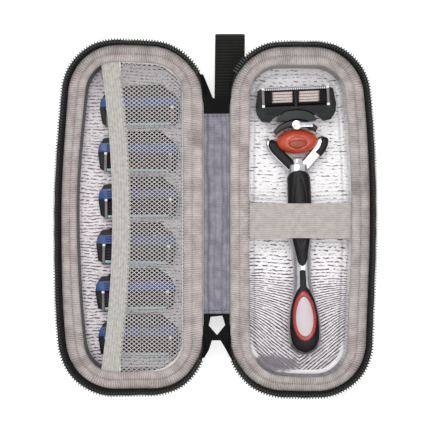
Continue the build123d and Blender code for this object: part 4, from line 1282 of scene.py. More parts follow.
    def binding(self) -> None:
        """Grey ribbed band round the rim, with a crease along it."""
        lap = TRAY_INSET + self.liner
        profile = [(0.85, 20.45), (0.8, 21.1), (1.1, 21.75), (1.8, 22.15), (3.2, 22.32), (4.4, 22.22),
                   (5.1, 21.9), (5.55, 21.45), (5.75, 21.45), (6.15, 21.85), (7.0, 22.16), (8.2, 22.24),
                   (9.3, 22.05), (10.2, 21.6), (10.7, 21.0), (10.75, 20.45)]
        outer, outer_normals = self.rim.walk(1.0)
        inner, inner_normals = self.tray.walk(1.0)
        bare = self.bare(outer)
        blur, window = self.spine_blur, 2 * self.spine_blur + 1
        share = np.convolve(np.concatenate([bare[-blur:], bare, bare[:blur]]).astype(float),
                            np.ones(window) / window, mode="valid")
        shape = np.zeros((len(outer), len(profile), 3))
        run = np.arange(len(outer))
        swell = 0.06 * np.sin(run / 3.7 + 1.3 * np.sin(run / 11.0))
        for column, (inset, height) in enumerate(profile):
            across = inset / lap
            reach = inset - self.spine_lap * share * (1 - across)
            shape[:, column, :2] = lerp(outer - outer_normals * reach[:, None],
                                        inner - inner_normals * reach[:, None], across)
            shape[:, column, 2] = height + (swell if height > 21 else 0.0)
        piece = closed_skin(f"{self.side.word}_rim_binding", shape, Look.BINDING, self.side, ring=True)
        Place.ride(piece, self.side.body, "ribbed_binding", f"{self.side.word}_binding")

    def tape_line(self, inset: float, share: float, step: float, whole: bool = True) -> np.ndarray:
        """Open line along the tape, from one end of it to the other.

        Args:
            inset: Distance inward from the flange's edge.
            share: Share of the tape's height, 0 at the flange and 1 at its free edge.
            step: Spacing along the rim, in millimetres.
            whole: Whether the low ends along the spine are part of the line.

        Returns:
            Points of the line.
        """
        points, normals = self.rim.walk(step)
        if whole:
            bare = (points[:, 0] < PIVOT_X + self.tape_side) & (np.abs(points[:, 1]) < self.tape_low)
        else:
            bare = self.bare(points)
        keep = np.flatnonzero(~bare)
        stand = self.stand(points)
        out = self.lean(points) * stand * share ** 0.7
        flat = points - normals * (inset - out)[:, None]
        height = FLANGE_TOP - 1.0 + (TAPE_TOP - FLANGE_TOP + 1.0) * share * stand
        return np.column_stack([flat, height])[keep[0]:keep[-1] + 1]

    def tape(self) -> None:
        """Zip tape, which stands up from the rim and leans out."""
        shares = np.linspace(0, 1, 6)
        columns = [self.tape_line(0.0, share, self.tape_step) for share in shares]
        columns += [self.tape_line(self.tape_thick, max(share, 0.15), self.tape_step)
                    for share in shares[::-1]]
        shape = np.stack(columns, axis=1)
        run = np.arange(len(shape)) * self.tape_step
        wave = 0.12 * np.sin(run / 2.3 + 1.5 * np.sin(run / 9.0))
        for column in range(3, 9):
            centre = shape[:, column, :2].mean(axis=0)
            away = shape[:, column, :2] - centre
            away /= np.linalg.norm(away, axis=1)[:, None]
            shape[:, column, :2] += away * wave[:, None]
        piece = closed_skin(f"{self.side.word}_tape_cloth", shape, Look.TAPE, self.side)
        Place.ride(piece, self.side.body, "zip_tape", f"{self.side.word}_zip_tape")

    def teeth(self) -> None:
        """Fine moulded coil along the tape's free edge."""
        line = self.tape_line(self.tape_thick / 2, 1.0, 1.0, whole=False)
        line[:, 0] *= self.side.value
        piece = Repeat.along(f"{self.side.word}_zip_coil", line, Look.TEETH, self.tooth_pitch,
                             self.tooth, lift=0.55, sides=8)
        Place.ride(piece, self.side.body, "zip_teeth", f"{self.side.word}_zip_teeth")


@dataclass
class Spine:
    """Fabric hinge between the halves, with its lining, webs, slider and pull tab.

    Each fold of the lining has a depth, a place, the reach, length and phase of its wander, and a
    half width.
    """

    edge: float = 6.85
    top: float = 55.1
    bottom: float = -51.1
    low: float = 20.0
    fabric: float = 0.8
    lining: float = 1.1
    fold: float = 0.45
    folds: tuple[tuple[float, ...], ...] = (
        (0.5, 4.1, 0.4, 13, 0, 0.7), (0.35, 2.2, 0.3, 9, 1, 0.5),
        (0.4, -2.9, 0.5, 17, 0, 0.8), (0.25, -5.0, 0.2, 7, 0, 0.4))

    def build(self) -> None:
        """Builds the cloth pieces and dresses the zip's metal."""
        self.cloth()
        self.pad()
        self.end_stitches()
        for side in Side:
            self.hinge(side)
        for name in ("top_web", "bottom_web"):
            piece = Place.softened(name, f"{name}_cloth", Look.BLACK_CLOTH, 0.45, 3)
            Place.ride(piece, "spine", "black_fabric", name)
        slider = Place.softened("zip_slider", "slider_body", Look.SLIDER, 0.25)
        Place.ride(slider, "spine", "slider_metal", "zip_slider")
        pull = Place.softened("zip_pull", "slider_pull", Look.SLIDER, 0.2)
        Place.ride(pull, "pull_tab", "slider_metal", "zip_pull")

    def cloth(self) -> None:
        """Black outer cloth of the spine."""
        ys = np.linspace(self.bottom, self.top, 60)
        xs = np.linspace(-self.edge, self.edge, 12)
        upper = [(x, self.low + self.fabric) for x in xs]
        lower = [(x, self.low + 0.05 * math.cos(x)) for x in xs[::-1]]
        rows = [[(x, y, z) for x, z in upper + lower] for y in ys]
        piece = closed_skin("spine_back_cloth", rows, Look.BLACK_CLOTH)
        Place.ride(piece, "spine", "black_fabric", "spine_fabric")

    def pad(self) -> None:
        """Padded lining with soft folds that run along the spine."""
        base = self.low + self.fabric
        ys = np.linspace(self.bottom, self.top, 150)
        xs = np.linspace(-self.edge, self.edge, 40)
        rows = []
        for y in ys:
            share = (y - self.bottom) / (self.top - self.bottom)
            ends = min(1.0, min(share, 1 - share) * 22)
            upper = []
            for x in xs:
                side = max(0.0, abs(x) / self.edge - 0.86) / 0.14
                folds = sum(deep * math.exp(-((x + at + sway * math.sin(y / long + phase)) / half) ** 2)
                            for deep, at, sway, long, phase, half in self.folds)
                swell = 0.05 * math.sin(y / 2.6 + x) + 0.05 * math.sin(y / 5.3 - x / 2)
                height = self.lining - self.fold * folds - 0.55 * side * side + swell - 0.12
                upper.append((x, y, base + max(0.12, height) * (0.35 + 0.65 * ends)))
            lower = [(x, y, base) for x in xs[::-1]]
            rows.append(upper + lower)
        piece = closed_skin("spine_soft_lining", rows, Look.LINING)
        Place.ride(piece, "spine", "spine_lining", "spine_lining")

    def hinge(self, side: Side) -> None:
        """Black cloth that joins the spine to the side of one half."""
        profile = [(5.2, 19.92), (6.3, 19.92), (6.75, 19.86), (7.0, 19.6), (7.05, 19.0), (7.05, 17.6),
                   (6.85, 17.6), (6.85, 19.0), (6.8, 19.4), (6.6, 19.6), (6.3, 19.7), (5.2, 19.7)]
        ys = np.linspace(self.bottom - 14, self.top + 8, 120)
        rows = [[(x, y, z) for x, z in profile] for y in ys]
        piece = closed_skin(f"{side.word}_hinge_cloth", rows, Look.BLACK_CLOTH, side)
        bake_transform(piece)
        LOG.info("%s bends between spine and %s", piece.name, side.body)

    def end_stitches(self) -> None:
        """Dark stitches across both ends of the lining."""
        height = self.low + self.fabric + 0.95
        for name, y in (("top", self.top - 1.6), ("bottom", self.bottom + 1.6)):
            line = [(-self.edge + 0.6, y, height), (self.edge - 0.6, y + 0.5, height)]
            piece = Repeat.along(f"spine_{name}_stitches", line, Look.DARK_THREAD, 1.9, (1.1, 0.35, 0.35))
            Place.ride(piece, "spine", "black_fabric")


@dataclass
class HandLoop:
    """Loop of ribbed webbing that sticks out past the rim at the spine's top end."""

    root: float = 62.5
    end: float = 98.4
    left: float = -1.2
    width: float = 15.9
    root_width: float = 13.1
    thick: float = 1.1
    opened: float = 5.0
    spread: float = 16.0
    tilt: float = 0.4

    def build(self) -> None:
        """Builds the folded webbing from its side view."""
        upper = FLANGE_LOW - self.thick / 2 - 0.02
        lower = FLANGE_LOW - 1.5 * self.thick - self.opened
        meeting = FLANGE_LOW - 1.5 * self.thick
        radius = (upper - lower) / 2
        path = [(self.root, upper)]
        path += [(y, upper) for y in np.linspace(self.root + 2, self.end - radius - self.thick / 2, 24)]
        for turn in np.radians(np.linspace(0, 180, 14)):
            path.append((self.end - self.thick / 2 - radius + radius * math.sin(turn),
                         (upper + lower) / 2 + radius * math.cos(turn)))
        spread = self.root + self.spread
        path += [(y, lower) for y in np.linspace(self.end - radius - 3, spread, 12)]
        for share in np.linspace(0, 1, 9)[1:]:
            path.append((spread - 8.0 * share, lower + (meeting - lower) * eased(share)))
        path += [(y, meeting) for y in np.linspace(self.root + 7, self.root + 0.1, 6)]
        centre = np.array(path)
        tangent = np.gradient(centre, axis=0)
        tangent /= np.linalg.norm(tangent, axis=1)[:, None]
        normal = np.column_stack([-tangent[:, 1], tangent[:, 0]])
        rows = []
        for (y, z), (ny, nz) in zip(centre, normal):
            share = float(np.clip((y - self.root - 3) / 10, 0, 1))
            wide = lerp(self.root_width, self.width, eased(share))
            tilt = self.tilt * (y - self.root) / (self.end - self.root)
            outline = oval(wide / 2, self.thick / 2 * 0.96, 28, power=7)
            rows.append([(self.left + wide / 2 + tilt + across, y + ny * out, z + nz * out)
                         for across, out in outline])
        piece = closed_skin("hand_loop_webbing", rows, Look.WEBBING, sharp=50)
        Place.ride(piece, "right_half", "black_webbing", "hand_loop")


@dataclass
class HoldingStrap:
    """Elastic strap across the right tray, over the razor's handle."""

    centre: float = -1.8
    width: float = 19.2
    low: float = 18.5
    thick: float = 1.0
    start: float = 16.4
    end: float = 72.3
    waist: float = 0.35
    rise: float = 0.12

    def build(self) -> None:
        """Builds the strap, with rolled edges and a slight rise over the handle."""
        rows = []
        for x in np.linspace(self.start, self.end, 90):
            middle = math.sin(math.pi * (x - self.start) / (self.end - self.start))
            outline = oval(self.width / 2 - self.waist * middle ** 2, self.thick / 2, 56, power=6)
            up = self.low + self.thick / 2 + self.rise * middle
            rows.append([(x, self.centre + y, up + z + 0.03 * math.sin(y * 1.7 + x / 8))
                         for y, z in outline])
        piece = closed_skin("elastic_strap", rows, Look.STRAP, sharp=50)
        Place.ride(piece, "right_half", "grey_elastic", "holding_strap")
        line = [(self.start + 0.8, self.centre + sign * (self.width / 2 - 0.8), self.low + self.thick + 0.02)
                for sign in (-1, 1)]
        thread = Repeat.along("strap_stitches", line, Look.DARK_THREAD, 2.0, (1.3, 0.4, 0.3))
        Place.ride(thread, "right_half", "grey_elastic")


@dataclass
class Pocket:
    """Net pocket over the spare cartridges: its elastic edge, its net and their stitches."""

    edge_end: float = 61.6
    edge_bow: float = 6.0
    edge_width: float = 9.7
    edge_thick: float = 1.4
    net_thick: float = 0.45
    net_end: float = 82.0
    cell_long: float = 2.7
    cell_short: float = 2.1
    cell_steps: int = 8
    strands: int = 110
    strand_parts: int = 110
    crossing: float = 0.12
    thread: float = 0.42
    knot: Point = (0.68, 0.58, 0.5)
    spine_side: float = 16.9
    tray_edge: np.ndarray = field(init=False)

    def __post_init__(self) -> None:
        """Finds the upper edge of the tray at the net's height."""
        half = HalfCase(Side.LEFT)
        ring = half.ring(half.tray, TRAY_INSET + 0.85, 0)
        upper = ring[ring[:, 1] > 40]
        self.tray_edge = upper[np.argsort(upper[:, 0])]

    def build(self) -> None:
        """Builds the pocket in the left tray, as seen mirrored to the right."""
        self.elastic()
        self.net()
        self.knots()
        self.hem()

    def edge_x(self, y: float) -> float:
        """Distance of the free edge from the spine's middle."""
        return self.edge_end - self.edge_bow * (1 - (y / self.net_end) ** 2)

    def tray_reach(self, x: float) -> float:
        """Half length of the tray at a distance from the spine, at the net's height."""
        return float(np.interp(x, self.tray_edge[:, 0], self.tray_edge[:, 1]))

    def elastic(self) -> None:
        """Elastic band along the pocket's free edge."""
        half = self.edge_width / 2
        reach = self.tray_reach(self.edge_end - half) - 0.2
        outline = oval(half, self.edge_thick / 2, 40, power=6)
        rows = [[(self.edge_x(y) - half + x, y, self.net_height() + z + 0.04 * math.sin(x * 2 + y / 6))
                 for x, z in outline] for y in np.linspace(-reach, reach, 150)]
        piece = closed_skin("pocket_elastic", rows, Look.ELASTIC, Side.LEFT, sharp=50)
        Place.ride(piece, "left_half", "grey_elastic", "pocket_edge")

    def net_height(self) -> float:
        """Height of the net's middle."""
        return FLANGE_TOP - 0.2 - self.edge_thick / 2

    def inside(self, x: float, y: float, margin: float = 0.0) -> bool:
        """Whether a place lies between the elastic band, the spine's side and the tray's ends."""
        if not self.spine_side + margin < x < self.edge_x(y) - self.edge_width + 1.2 - margin:
            return False
        return abs(y) < self.tray_reach(x) - margin

    def net(self) -> None:
        """Threads of the net, in two slanted sets, each a flattened strand."""
        points, edges = [], []
        slope = self.cell_short / self.cell_long
        step = self.cell_long / self.cell_steps
        for sign in (-1, 1):
            for start in range(-self.strands, self.strands + 1):
                first = len(points)
                for index in range(self.strand_parts):
                    x = self.spine_side + index * step
                    y = start * self.cell_short + sign * slope * (x - self.spine_side)
                    if self.inside(x, y):
                        over = self.crossing * sign * math.cos(2 * math.pi * index / self.cell_steps)
                        points.append((-x, y, self.net_height() + over))
                edges += [(index - 1, index) for index in range(first + 1, len(points))]
        piece = grow("net_threads", guide("net_threads", points, edges), self.thread_tree(),
                     {"Width": self.thread * MM, "Flat": self.net_thick / self.thread,
                      "Finish": Look.NET.make()})
        Place.ride(piece, "left_half", "pocket_net", "pocket_net")

    @staticmethod
    def thread_tree() -> bpy.types.NodeTree:
        """Geometry Nodes tree that turns lines into flattened strands."""
        graph = geometry_tree("flat strands", {"Width": "Float", "Flat": "Float"})
        given = graph.inputs()
        line = graph.node("GeometryNodeMeshToCurve", {"Mesh": given["Geometry"]})
        upright = graph.node("GeometryNodeSetCurveNormal", {"Curve": line.outputs["Curve"]}, mode="Z_UP")
        outline = graph.node("GeometryNodeCurvePrimitiveCircle", {"Resolution": 5, "Radius": 0.5},
                             mode="RADIUS")
        size = graph.node("ShaderNodeCombineXYZ", {
            "X": given["Width"], "Y": graph.times(given["Width"], given["Flat"]), "Z": 1.0})
        squash = graph.node("GeometryNodeTransform", {"Geometry": outline.outputs["Curve"],
                                                      "Scale": size.outputs[0]})
        strand = graph.node("GeometryNodeCurveToMesh", {
            "Curve": upright.outputs["Curve"], "Profile Curve": squash.outputs["Geometry"],
            "Fill Caps": True})
        return end_tree(graph, strand.outputs["Mesh"], given["Finish"])

    def knots(self) -> None:
        """Small knots where the net's strands cross."""
        places = []
        rows = int(self.net_end / (self.cell_short / 2)) + 1
        columns = int((self.edge_end - self.spine_side) / self.cell_long) + 1
        for row in range(-rows, rows + 1):
            y = row * self.cell_short / 2
            for column in range(columns):
                x = self.spine_side + self.cell_long * (column + 0.5 * (row % 2))
                if self.inside(x, y, 0.3):
                    places.append((-x, y, self.net_height()))
        piece = grow("net_knots", guide("net_knots", places), self.knot_tree(),
                     {"Size": tuple(value * MM for value in self.knot), "Finish": Look.NET.make()})
        Place.ride(piece, "left_half", "pocket_net")

    @staticmethod
    def knot_tree() -> bpy.types.NodeTree:
        """Geometry Nodes tree that sets a small rounded knot on each point."""
        graph = geometry_tree("knots on points", {"Size": "Vector"})
        given = graph.inputs()
        knot = graph.node("GeometryNodeMeshUVSphere", {"Segments": 8, "Rings": 4, "Radius": 0.5})
        put = graph.node("GeometryNodeInstanceOnPoints", {
            "Points": given["Geometry"], "Instance": knot.outputs["Mesh"], "Scale": given["Size"]})
        return end_tree(graph, put.outputs[0], given["Finish"])

    def hem(self) -> None:
        """Narrow hem of the net along the spine's side and its two ends, with its stitches."""
        reach = self.tray_reach(self.spine_side + 6) - 0.4
        far = self.edge_x(reach) - self.edge_width + 0.6
        corner, near = self.spine_side + 12.0, self.spine_side + 0.7
        across = [*np.linspace(far, corner, 14), *np.linspace(corner, near, 30)[1:]]
        line = [(far, reach)] + [(x, self.tray_reach(x) - 0.5) for x in across]
        side = [(near, y) for y in np.linspace(line[-1][1], -line[-1][1], 90)][1:-1]
        route = np.array(line + side + [(x, -y) for x, y in line[::-1]])
        tangent = np.gradient(route, axis=0)
        tangent /= np.maximum(np.linalg.norm(tangent, axis=1), 1e-6)[:, None]
        rows = [[(x - ty * out, y + tx * out, self.net_height() + up + 0.1)
                 for out, up in oval(0.8, 0.36, 12, power=4)] for (x, y), (tx, ty) in zip(route, tangent)]
        Place.ride(closed_skin("net_hem", rows, Look.NET, Side.LEFT), "left_half", "pocket_net")
        stitches = [(-self.spine_side - 0.8, y, self.net_height() + 0.52)
                    for y in np.linspace(-reach + 5, reach - 5, 40)]
        thread = Repeat.along("net_hem_stitches", stitches, Look.DARK_THREAD, 1.9, (1.0, 0.7, 0.3))
        Place.ride(thread, "left_half", "pocket_net")
        seam = [(-(self.edge_x(y) - self.edge_width + 0.7), y, FLANGE_TOP - 0.16)
                for y in np.linspace(-reach + 3, reach - 3, 60)]
        thread = Repeat.along("elastic_stitches", seam, Look.DARK_THREAD, 2.6, (0.7, 0.45, 0.25))
        Place.ride(thread, "left_half", "grey_elastic")


@dataclass
class Cartridge:
    """Dress of one blade cartridge, spare or mounted."""

    prefix: str
    body: str
    mounted: bool
    band: float = 5.3

    def build(self) -> None:
        """Softens the moulded pieces and dresses the steel."""
        if self.mounted:
            guard, strip, steel = Look.GUARD_BLACK, Look.STRIP_WHITE, Look.BRIGHT_BLADES
        else:
            guard, strip, steel = Look.GUARD_BLUE, Look.STRIP_PALE, Look.SHADOWED_BLADE_STEEL
        for part, word, finish, bevel in (("frame", "housing", Look.BLACK, 0.35),
                                          ("guard", "soft_guard", guard, 0.16),
                                          ("strip", "glide_strip", strip, 0.12)):
            node = f"{self.prefix}_{part}"
            piece = Place.softened(node, f"{self.prefix}_{word}", finish, bevel)
            if part == "guard" and not self.mounted:
                self.cap(piece)
            Place.ride(piece, self.body, finish.name, node)
        if not self.mounted:
            self.cover()
        node = f"{self.prefix}_blades"
        blades = Place.softened(node, f"{self.prefix}_edges", steel, 0.05, 1, span=(20.0, 60.0))
        clips = Place.softened(node, f"{self.prefix}_clips", Look.CLIP, 0.1, 1, span=(0.0, 20.0))
        self.tip(clips, 1.3)
        for piece in (blades, clips):
            Place.ride(piece, self.body, "blade_steel", node)

    def cover(self) -> None:
        """Sloping black back of a spare, which shows above its coloured band."""
        guard, frame = (Place.corners(f"{self.prefix}_{part}") for part in ("guard", "frame"))
        left, right = guard[:, 0].min(), guard[:, 0].max()
        wide = right - left
        low, top = guard[:, 1].min() + self.band, frame[:, 1].max()
        outline = [(left + 0.1 * wide, low), (right - 0.04 * wide, low), (right - 0.08 * wide, low + 1.2),
                   (right - 0.2 * wide, top), (right - 0.28 * wide, top), (left + 0.4 * wide, top - 0.6),
                   (left + 0.22 * wide, top - 1.8), (left + 0.12 * wide, low + 1.5)]
        centre = np.mean(outline, axis=0)
        deep, high = frame[:, 2].min() + 1.0, guard[:, 2].max()
        rows = [[(*(centre + (np.array(place) - centre) * share - (0, CASE_SHIFT)), height)
                 for place in outline]
                for share, height in ((1.0, deep), (1.0, high - 1.6), (0.94, high - 0.9), (0.85, high - 0.6))]
        piece = closed_skin(f"{self.prefix}_back_cover", rows, Look.BLACK, sharp=50)
        Place.ride(piece, self.body, "cartridge_black", f"{self.prefix}_frame")

    def cap(self, guard: bpy.types.Object) -> None:
        """Makes a spare's guard black above its coloured band."""
        mesh = guard.data
        mesh.materials.append(Look.BLACK.make())
        form = bmesh.new()
        form.from_mesh(mesh)
        level = min(point.co.y for point in form.verts) + self.band * MM
        around = [*form.verts, *form.edges, *form.faces]
        bmesh.ops.bisect_plane(form, geom=around, plane_co=(0, level, 0), plane_no=(0, 1, 0))
        for face in form.faces:
            if face.calc_center_median().y > level:
                face.material_index = 1
        form.to_mesh(mesh)
        form.free()

    def tip(self, clips: bpy.types.Object, reach: float) -> None:
        """Gives the clips' ends their bright finish: both ends if mounted, else the upper one.

        Args:
            clips: The two clips, as one object.
            reach: Length of a bright end, in millimetres.
        """
        mesh = clips.data
        mesh.materials.append(Look.CLIP_TIP.make())
        form = bmesh.new()
        form.from_mesh(mesh)
        middle = sum((point.co.x for point in form.verts), 0.0) / max(1, len(form.verts))
        for left in (True, False):
            own = [point.co.y for point in form.verts if (point.co.x < middle) is left]
            if not own:
                continue
            ends = [(max(own) - reach * MM, 1)] + ([(min(own) + reach * MM, -1)] if self.mounted else [])
            for level, way in ends:
                faces = [face for face in form.faces if (face.calc_center_median().x < middle) is left]
                around = list({item for face in faces for item in (face, *face.edges, *face.verts)})
                bmesh.ops.bisect_plane(form, geom=around, plane_co=(0, level, 0), plane_no=(0, 1, 0))
                for face in form.faces:
                    centre = face.calc_center_median()
                    if (centre.x < middle) is left and (centre.y - level) * way > 0:
                        face.material_index = 1
        form.to_mesh(mesh)
        form.free()


@dataclass
class Razor:
    """Razor in the right tray, in its own frame round the centre of its ball."""

    ball: Point = (43.2, 40.8, 11.2)
    turn: float = 2.3
    neck: float = 14.0
    waist: float = 73.0
    widest: float = 106.0
    end: float = 115.0
    ball_half: float = 11.4
    ball_radius: float = 6.5
    button_y: float = -1.4
    button_half: Pair = (4.5, 2.2)
    button_low: float = 4.75
    recess: Point = (5.1, 3.1, 1.25)
    recess_y: float = -0.8
    band_outer: Pair = (14.2, 12.0)
    band_inner: Pair = (12.5, 7.9)
    band_span: Pair = (36.0, 152.0)
    band_half: float = 2.75
    groove_rim: Pair = (0.42, 0.34)
    groove_deep: float = 0.28
    rubber_root: float = 0.35
    bead_end: Point = (16.6, 28.1, 4.7)

    def build(self) -> None:
        """Builds the razor's pieces and dresses its head."""
        self.handle()
        self.grips()
        self.ring_and_inlay()
        self.yoke()
        self.ball_and_button()
        self.swivel_ring()
        lug = Place.softened("razor_pivot_lug", "pivot_lug_metal", Look.CHROME, 0.2)
        Place.ride(lug, "razor_head", "chrome", "razor_pivot_lug")
        hood = Place.softened("razor_head_hub", "head_hood", Look.HEAD, 0.7, 4)
        Place.ride(hood, "razor_head", "head_plastic", "razor_head_hub")
        Cartridge("razor_cartridge", "razor_cartridge", True).build()
        self.beads()

    def skin(self, name: str, rows: Sequence, finish: Finish, node: str, slot: str = "",
             body: str = "razor", **more: object) -> None:
        """Builds one piece of the razor and hands it over.

        Args:
            name: Name of the piece.
            rows: Rings of points in the razor's frame.
            finish: Finish of the piece.
            node: Solid that the piece stands for.
            slot: Name of its finish, where it isn't the finish's own name. Not used.
            body: Body that the piece rides on.
            more: Other settings of closed_skin.
        """
        piece = closed_skin(name, self.put(rows), finish, **more)
        Place.ride(piece, body, slot or finish.name, node)

    def put(self, local: Sequence) -> np.ndarray:
        """Turns points of the razor's frame into points of the case."""
        cos, sin = math.cos(math.radians(self.turn)), math.sin(math.radians(self.turn))
        placed = np.array(local, float)
        x, y = placed[..., 0].copy(), placed[..., 1].copy()
        placed[..., 0] = x * cos - y * sin + self.ball[0]
        placed[..., 1] = x * sin + y * cos + self.ball[1]
        placed[..., 2] += self.ball[2]
        return placed

    def half_sizes(self, along: np.ndarray) -> tuple[np.ndarray, np.ndarray]:
        """Half width and half height of the handle, at distances from the ball."""
        stations = (self.neck, 24.0, 41.7, 60.0, self.waist, 84.0, 97.0, self.widest, self.end)
        wide = smooth_line(stations, (5.7, 6.7, 6.6, 5.4, 4.8, 6.3, 8.7, 8.9, 8.9), along)
        high = smooth_line(stations, (4.2, 5.6, 6.2, 5.4, 4.4, 4.9, 5.6, 5.4, 5.4), along)
        past = np.clip((along - self.widest) / (self.end - self.widest), 0, 1)
        end = np.sqrt(np.maximum(1 - past * past, 0.0004))
        return wide * end, high * end

    def handle(self) -> None:
        """Bright metal body of the handle."""
        round_end = self.widest + (self.end - self.widest) * np.sin(np.linspace(0, 1, 16) * np.pi / 2)
        along = np.concatenate([np.linspace(self.neck - 1.5, self.widest, 120)[:-1], round_end])
        wide, high = self.half_sizes(along)
        rows = [[(x, -at, z) for x, z in oval(w, h, 56)] for at, w, h in zip(along, wide, high)]
        self.skin("handle_metal", rows, Look.CHROME, "razor_handle")

    def top_height(self, x: np.ndarray, along: np.ndarray) -> np.ndarray:
        """Height of the handle's upper side at places on it."""
        wide, high = self.half_sizes(along)
        share = np.clip(x / wide, -1, 1)
        return high * np.sqrt(np.maximum(1 - share * share, 0.0))

    def pad(self, along: np.ndarray, half: np.ndarray, lift: float, groove: Optional[Point] = None) -> list:
        """Rings of a rubber skin on the handle's upper side.

        Args:
            along: Distances from the ball, rising.
            half: Half width of the skin at each distance.
            lift: Thickness of the rubber.
            groove: Middle, half length and half width of an oval groove, if there is one.

        Returns:
            One ring of points for each distance.
        """
        across = np.sin(np.linspace(-1, 1, 61) * np.pi / 2)
        rounded = np.sqrt(np.maximum(1 - np.abs(across) ** 10, 0.0))
        rows = []
        for at, wide in zip(along, half):
            x = wide * across
            top = self.top_height(x, np.full_like(x, at))
            raised = top + lift * rounded
            if groove:
                middle, half_length, half_width = groove
                place = np.sqrt(((at - middle) / half_length) ** 2 + (x / half_width) ** 2)
                deep, width = self.groove_rim
                rim = deep * np.exp(-(((place - 1) * half_width) / width) ** 2)
                raised = raised - rim - self.groove_deep / (1 + np.exp((place - 0.96) * 26))
            upper = [(a, -at, b) for a, b in zip(x, raised)]
            lower = [(a, -at, b - self.rubber_root) for a, b in zip(x[::-1], top[::-1])]
            rows.append(upper + lower)
        return rows

    def grips(self) -> None:
        """Rubber skins: the long front grip and the drop on the end."""
        along = np.linspace(15.6, 66.8, 150)
        half = smooth_line((15.6, 16.2, 17.6, 20.0, 34.0, 43.0, 52.0, 60.0, 64.4, 66.2, 66.8),
                           (0.8, 3.0, 5.2, 6.2, 6.35, 5.9, 4.75, 3.3, 2.4, 1.3, 0.3), along)
        front = self.pad(along, half, 0.7, groove=(37.0, 18.0, 3.7))
        self.skin("front_grip_rubber", front, Look.RUBBER, "razor_front_grip")
        along = np.linspace(69.0, 113.2, 130)
        half = smooth_line((69.0, 69.6, 77.5, 80.0, 86.0, 92.0, 100.4, 106.0, 111.4, 113.2),
                           (0.8, 1.6, 1.75, 3.4, 6.0, 7.3, 7.95, 7.5, 4.6, 0.8), along)
        self.skin("end_grip_rubber", self.pad(along, half, 0.6), Look.RUBBER, "razor_end_grip")

    @staticmethod
    def egg(half: float, start: float, end: float, count: int = 90) -> np.ndarray:
        """Egg outline on the handle's end, wider away from the waist, as pairs of x and distance."""
        turns = np.linspace(0, 2 * np.pi, count, endpoint=False)
        middle, reach = (start + end) / 2, (end - start) / 2
        x = half * np.cos(turns) * (1 + 0.13 * np.sin(turns))
        return np.column_stack([x, middle + reach * np.sin(turns)])

    def on_top(self, line: np.ndarray, lift: float) -> np.ndarray:
        """Ring of points that lies on the handle's upper side, raised by a lift."""
        return np.column_stack([line[:, 0], -line[:, 1], self.top_height(line[:, 0], line[:, 1]) + lift])

    def ring_and_inlay(self) -> None:
        """Coloured ring in the end grip, and the smooth inlay inside it."""
        outer, inner = self.egg(6.2, 80.4, 106.8), self.egg(4.75, 83.0, 104.6)
        shape = ((-0.02, 0.2), (0.0, 0.62), (0.15, 0.86), (0.5, 0.98), (0.85, 0.86), (1.0, 0.6),
                 (1.02, 0.1), (1.0, -0.3), (0.0, -0.3))
        rows = [self.on_top(lerp(outer, inner, share), lift) for share, lift in shape]
        self.skin("end_ring_gloss", rows, Look.RING, "razor_end_ring", ring=True)
        centre = np.array([0.0, 94.2])
        field_edge = self.egg(4.77, 82.95, 104.65)
        shape = ((1.0, -0.3), (1.0, 0.45), (0.97, 0.62), (0.9, 0.72), (0.7, 0.8), (0.45, 0.86),
                 (0.2, 0.88), (0.04, 0.88))
        rows = [self.on_top(centre + (field_edge - centre) * share, lift) for share, lift in shape]
        self.skin("end_inlay_gloss", rows, Look.INLAY, "razor_end_inlay")

    @staticmethod
    def arm(side: int, shift: float, width: float, thick: float, span: Pair) -> list:
        """Rings of one bar along an arm of the yoke.

        Args:
            side: 1 for the arm at +X, -1 for the other.
            shift: Move of the bar away from the arm's middle line, outwards.
            width: Width of the bar, seen from above.
            thick: Height of the bar.
            span: Shares of the arm between which the bar runs.

        Returns:
            One ring of points for each place along the arm.
        """
        shares = (0.0, 0.25, 0.55, 0.78, 0.93, 1.0)
        at = np.linspace(*span, 40)
        x = smooth_line(shares, (2.6, 6.4, 10.6, 13.4, 14.4, 14.4), at)
        y = smooth_line(shares, (-15.6, -11.6, -7.0, -3.4, 0.2, 2.6), at)
        slope = np.gradient(np.column_stack([x, y]), axis=0)
        slope /= np.linalg.norm(slope, axis=1)[:, None]
        rows = []
        for share, px, py, (along_x, along_y) in zip(np.linspace(0, 1, len(at)), x, y, slope):
            fade = math.sqrt(max(0.02, 1 - max(0.0, (share - 0.9) / 0.1) ** 2))
            rows.append([(side * (px + along_y * (shift + across)), py - along_x * (shift + across), up)
                         for across, up in oval(width / 2 * fade, thick / 2 * fade, 24, power=3.4)])
        return rows

    def yoke(self) -> None:
        """Forked neck: two arms, of metal and black plastic, and the collar that joins them."""
        whole = (0.0, 1.0)
        for name, side, shift, width, thick, span, finish in (
                ("left_metal", -1, 1.2, 2.4, 4.4, whole, Look.CHROME),
                ("right_metal", 1, -0.8, 6.4, 4.8, whole, Look.CHROME),
                ("left_cover", -1, -1.0, 6.0, 5.3, (0.02, 0.97), Look.BLACK),
                ("right_cover", 1, 0.3, 4.4, 5.5, (0.55, 0.98), Look.BLACK)):
            rows = self.arm(side, shift, width, thick, span)
            self.skin(f"yoke_{name}", rows, finish, "razor_yoke", sharp=60)
        places = (9.4, 12.0, self.neck, self.neck + 2.0)
        along = np.linspace(places[0], places[-1], 14)
        wide = smooth_line(places, (3.0, 4.6, 5.4, 5.7), along)
        high = smooth_line(places, (1.9, 2.7, 3.6, 3.9), along)
        rows = [[(x, -at, z) for x, z in oval(w, h, 32, power=2.6)] for at, w, h in zip(along, wide, high)]
        self.skin("yoke_collar", rows, Look.CHROME, "razor_yoke", sharp=60)

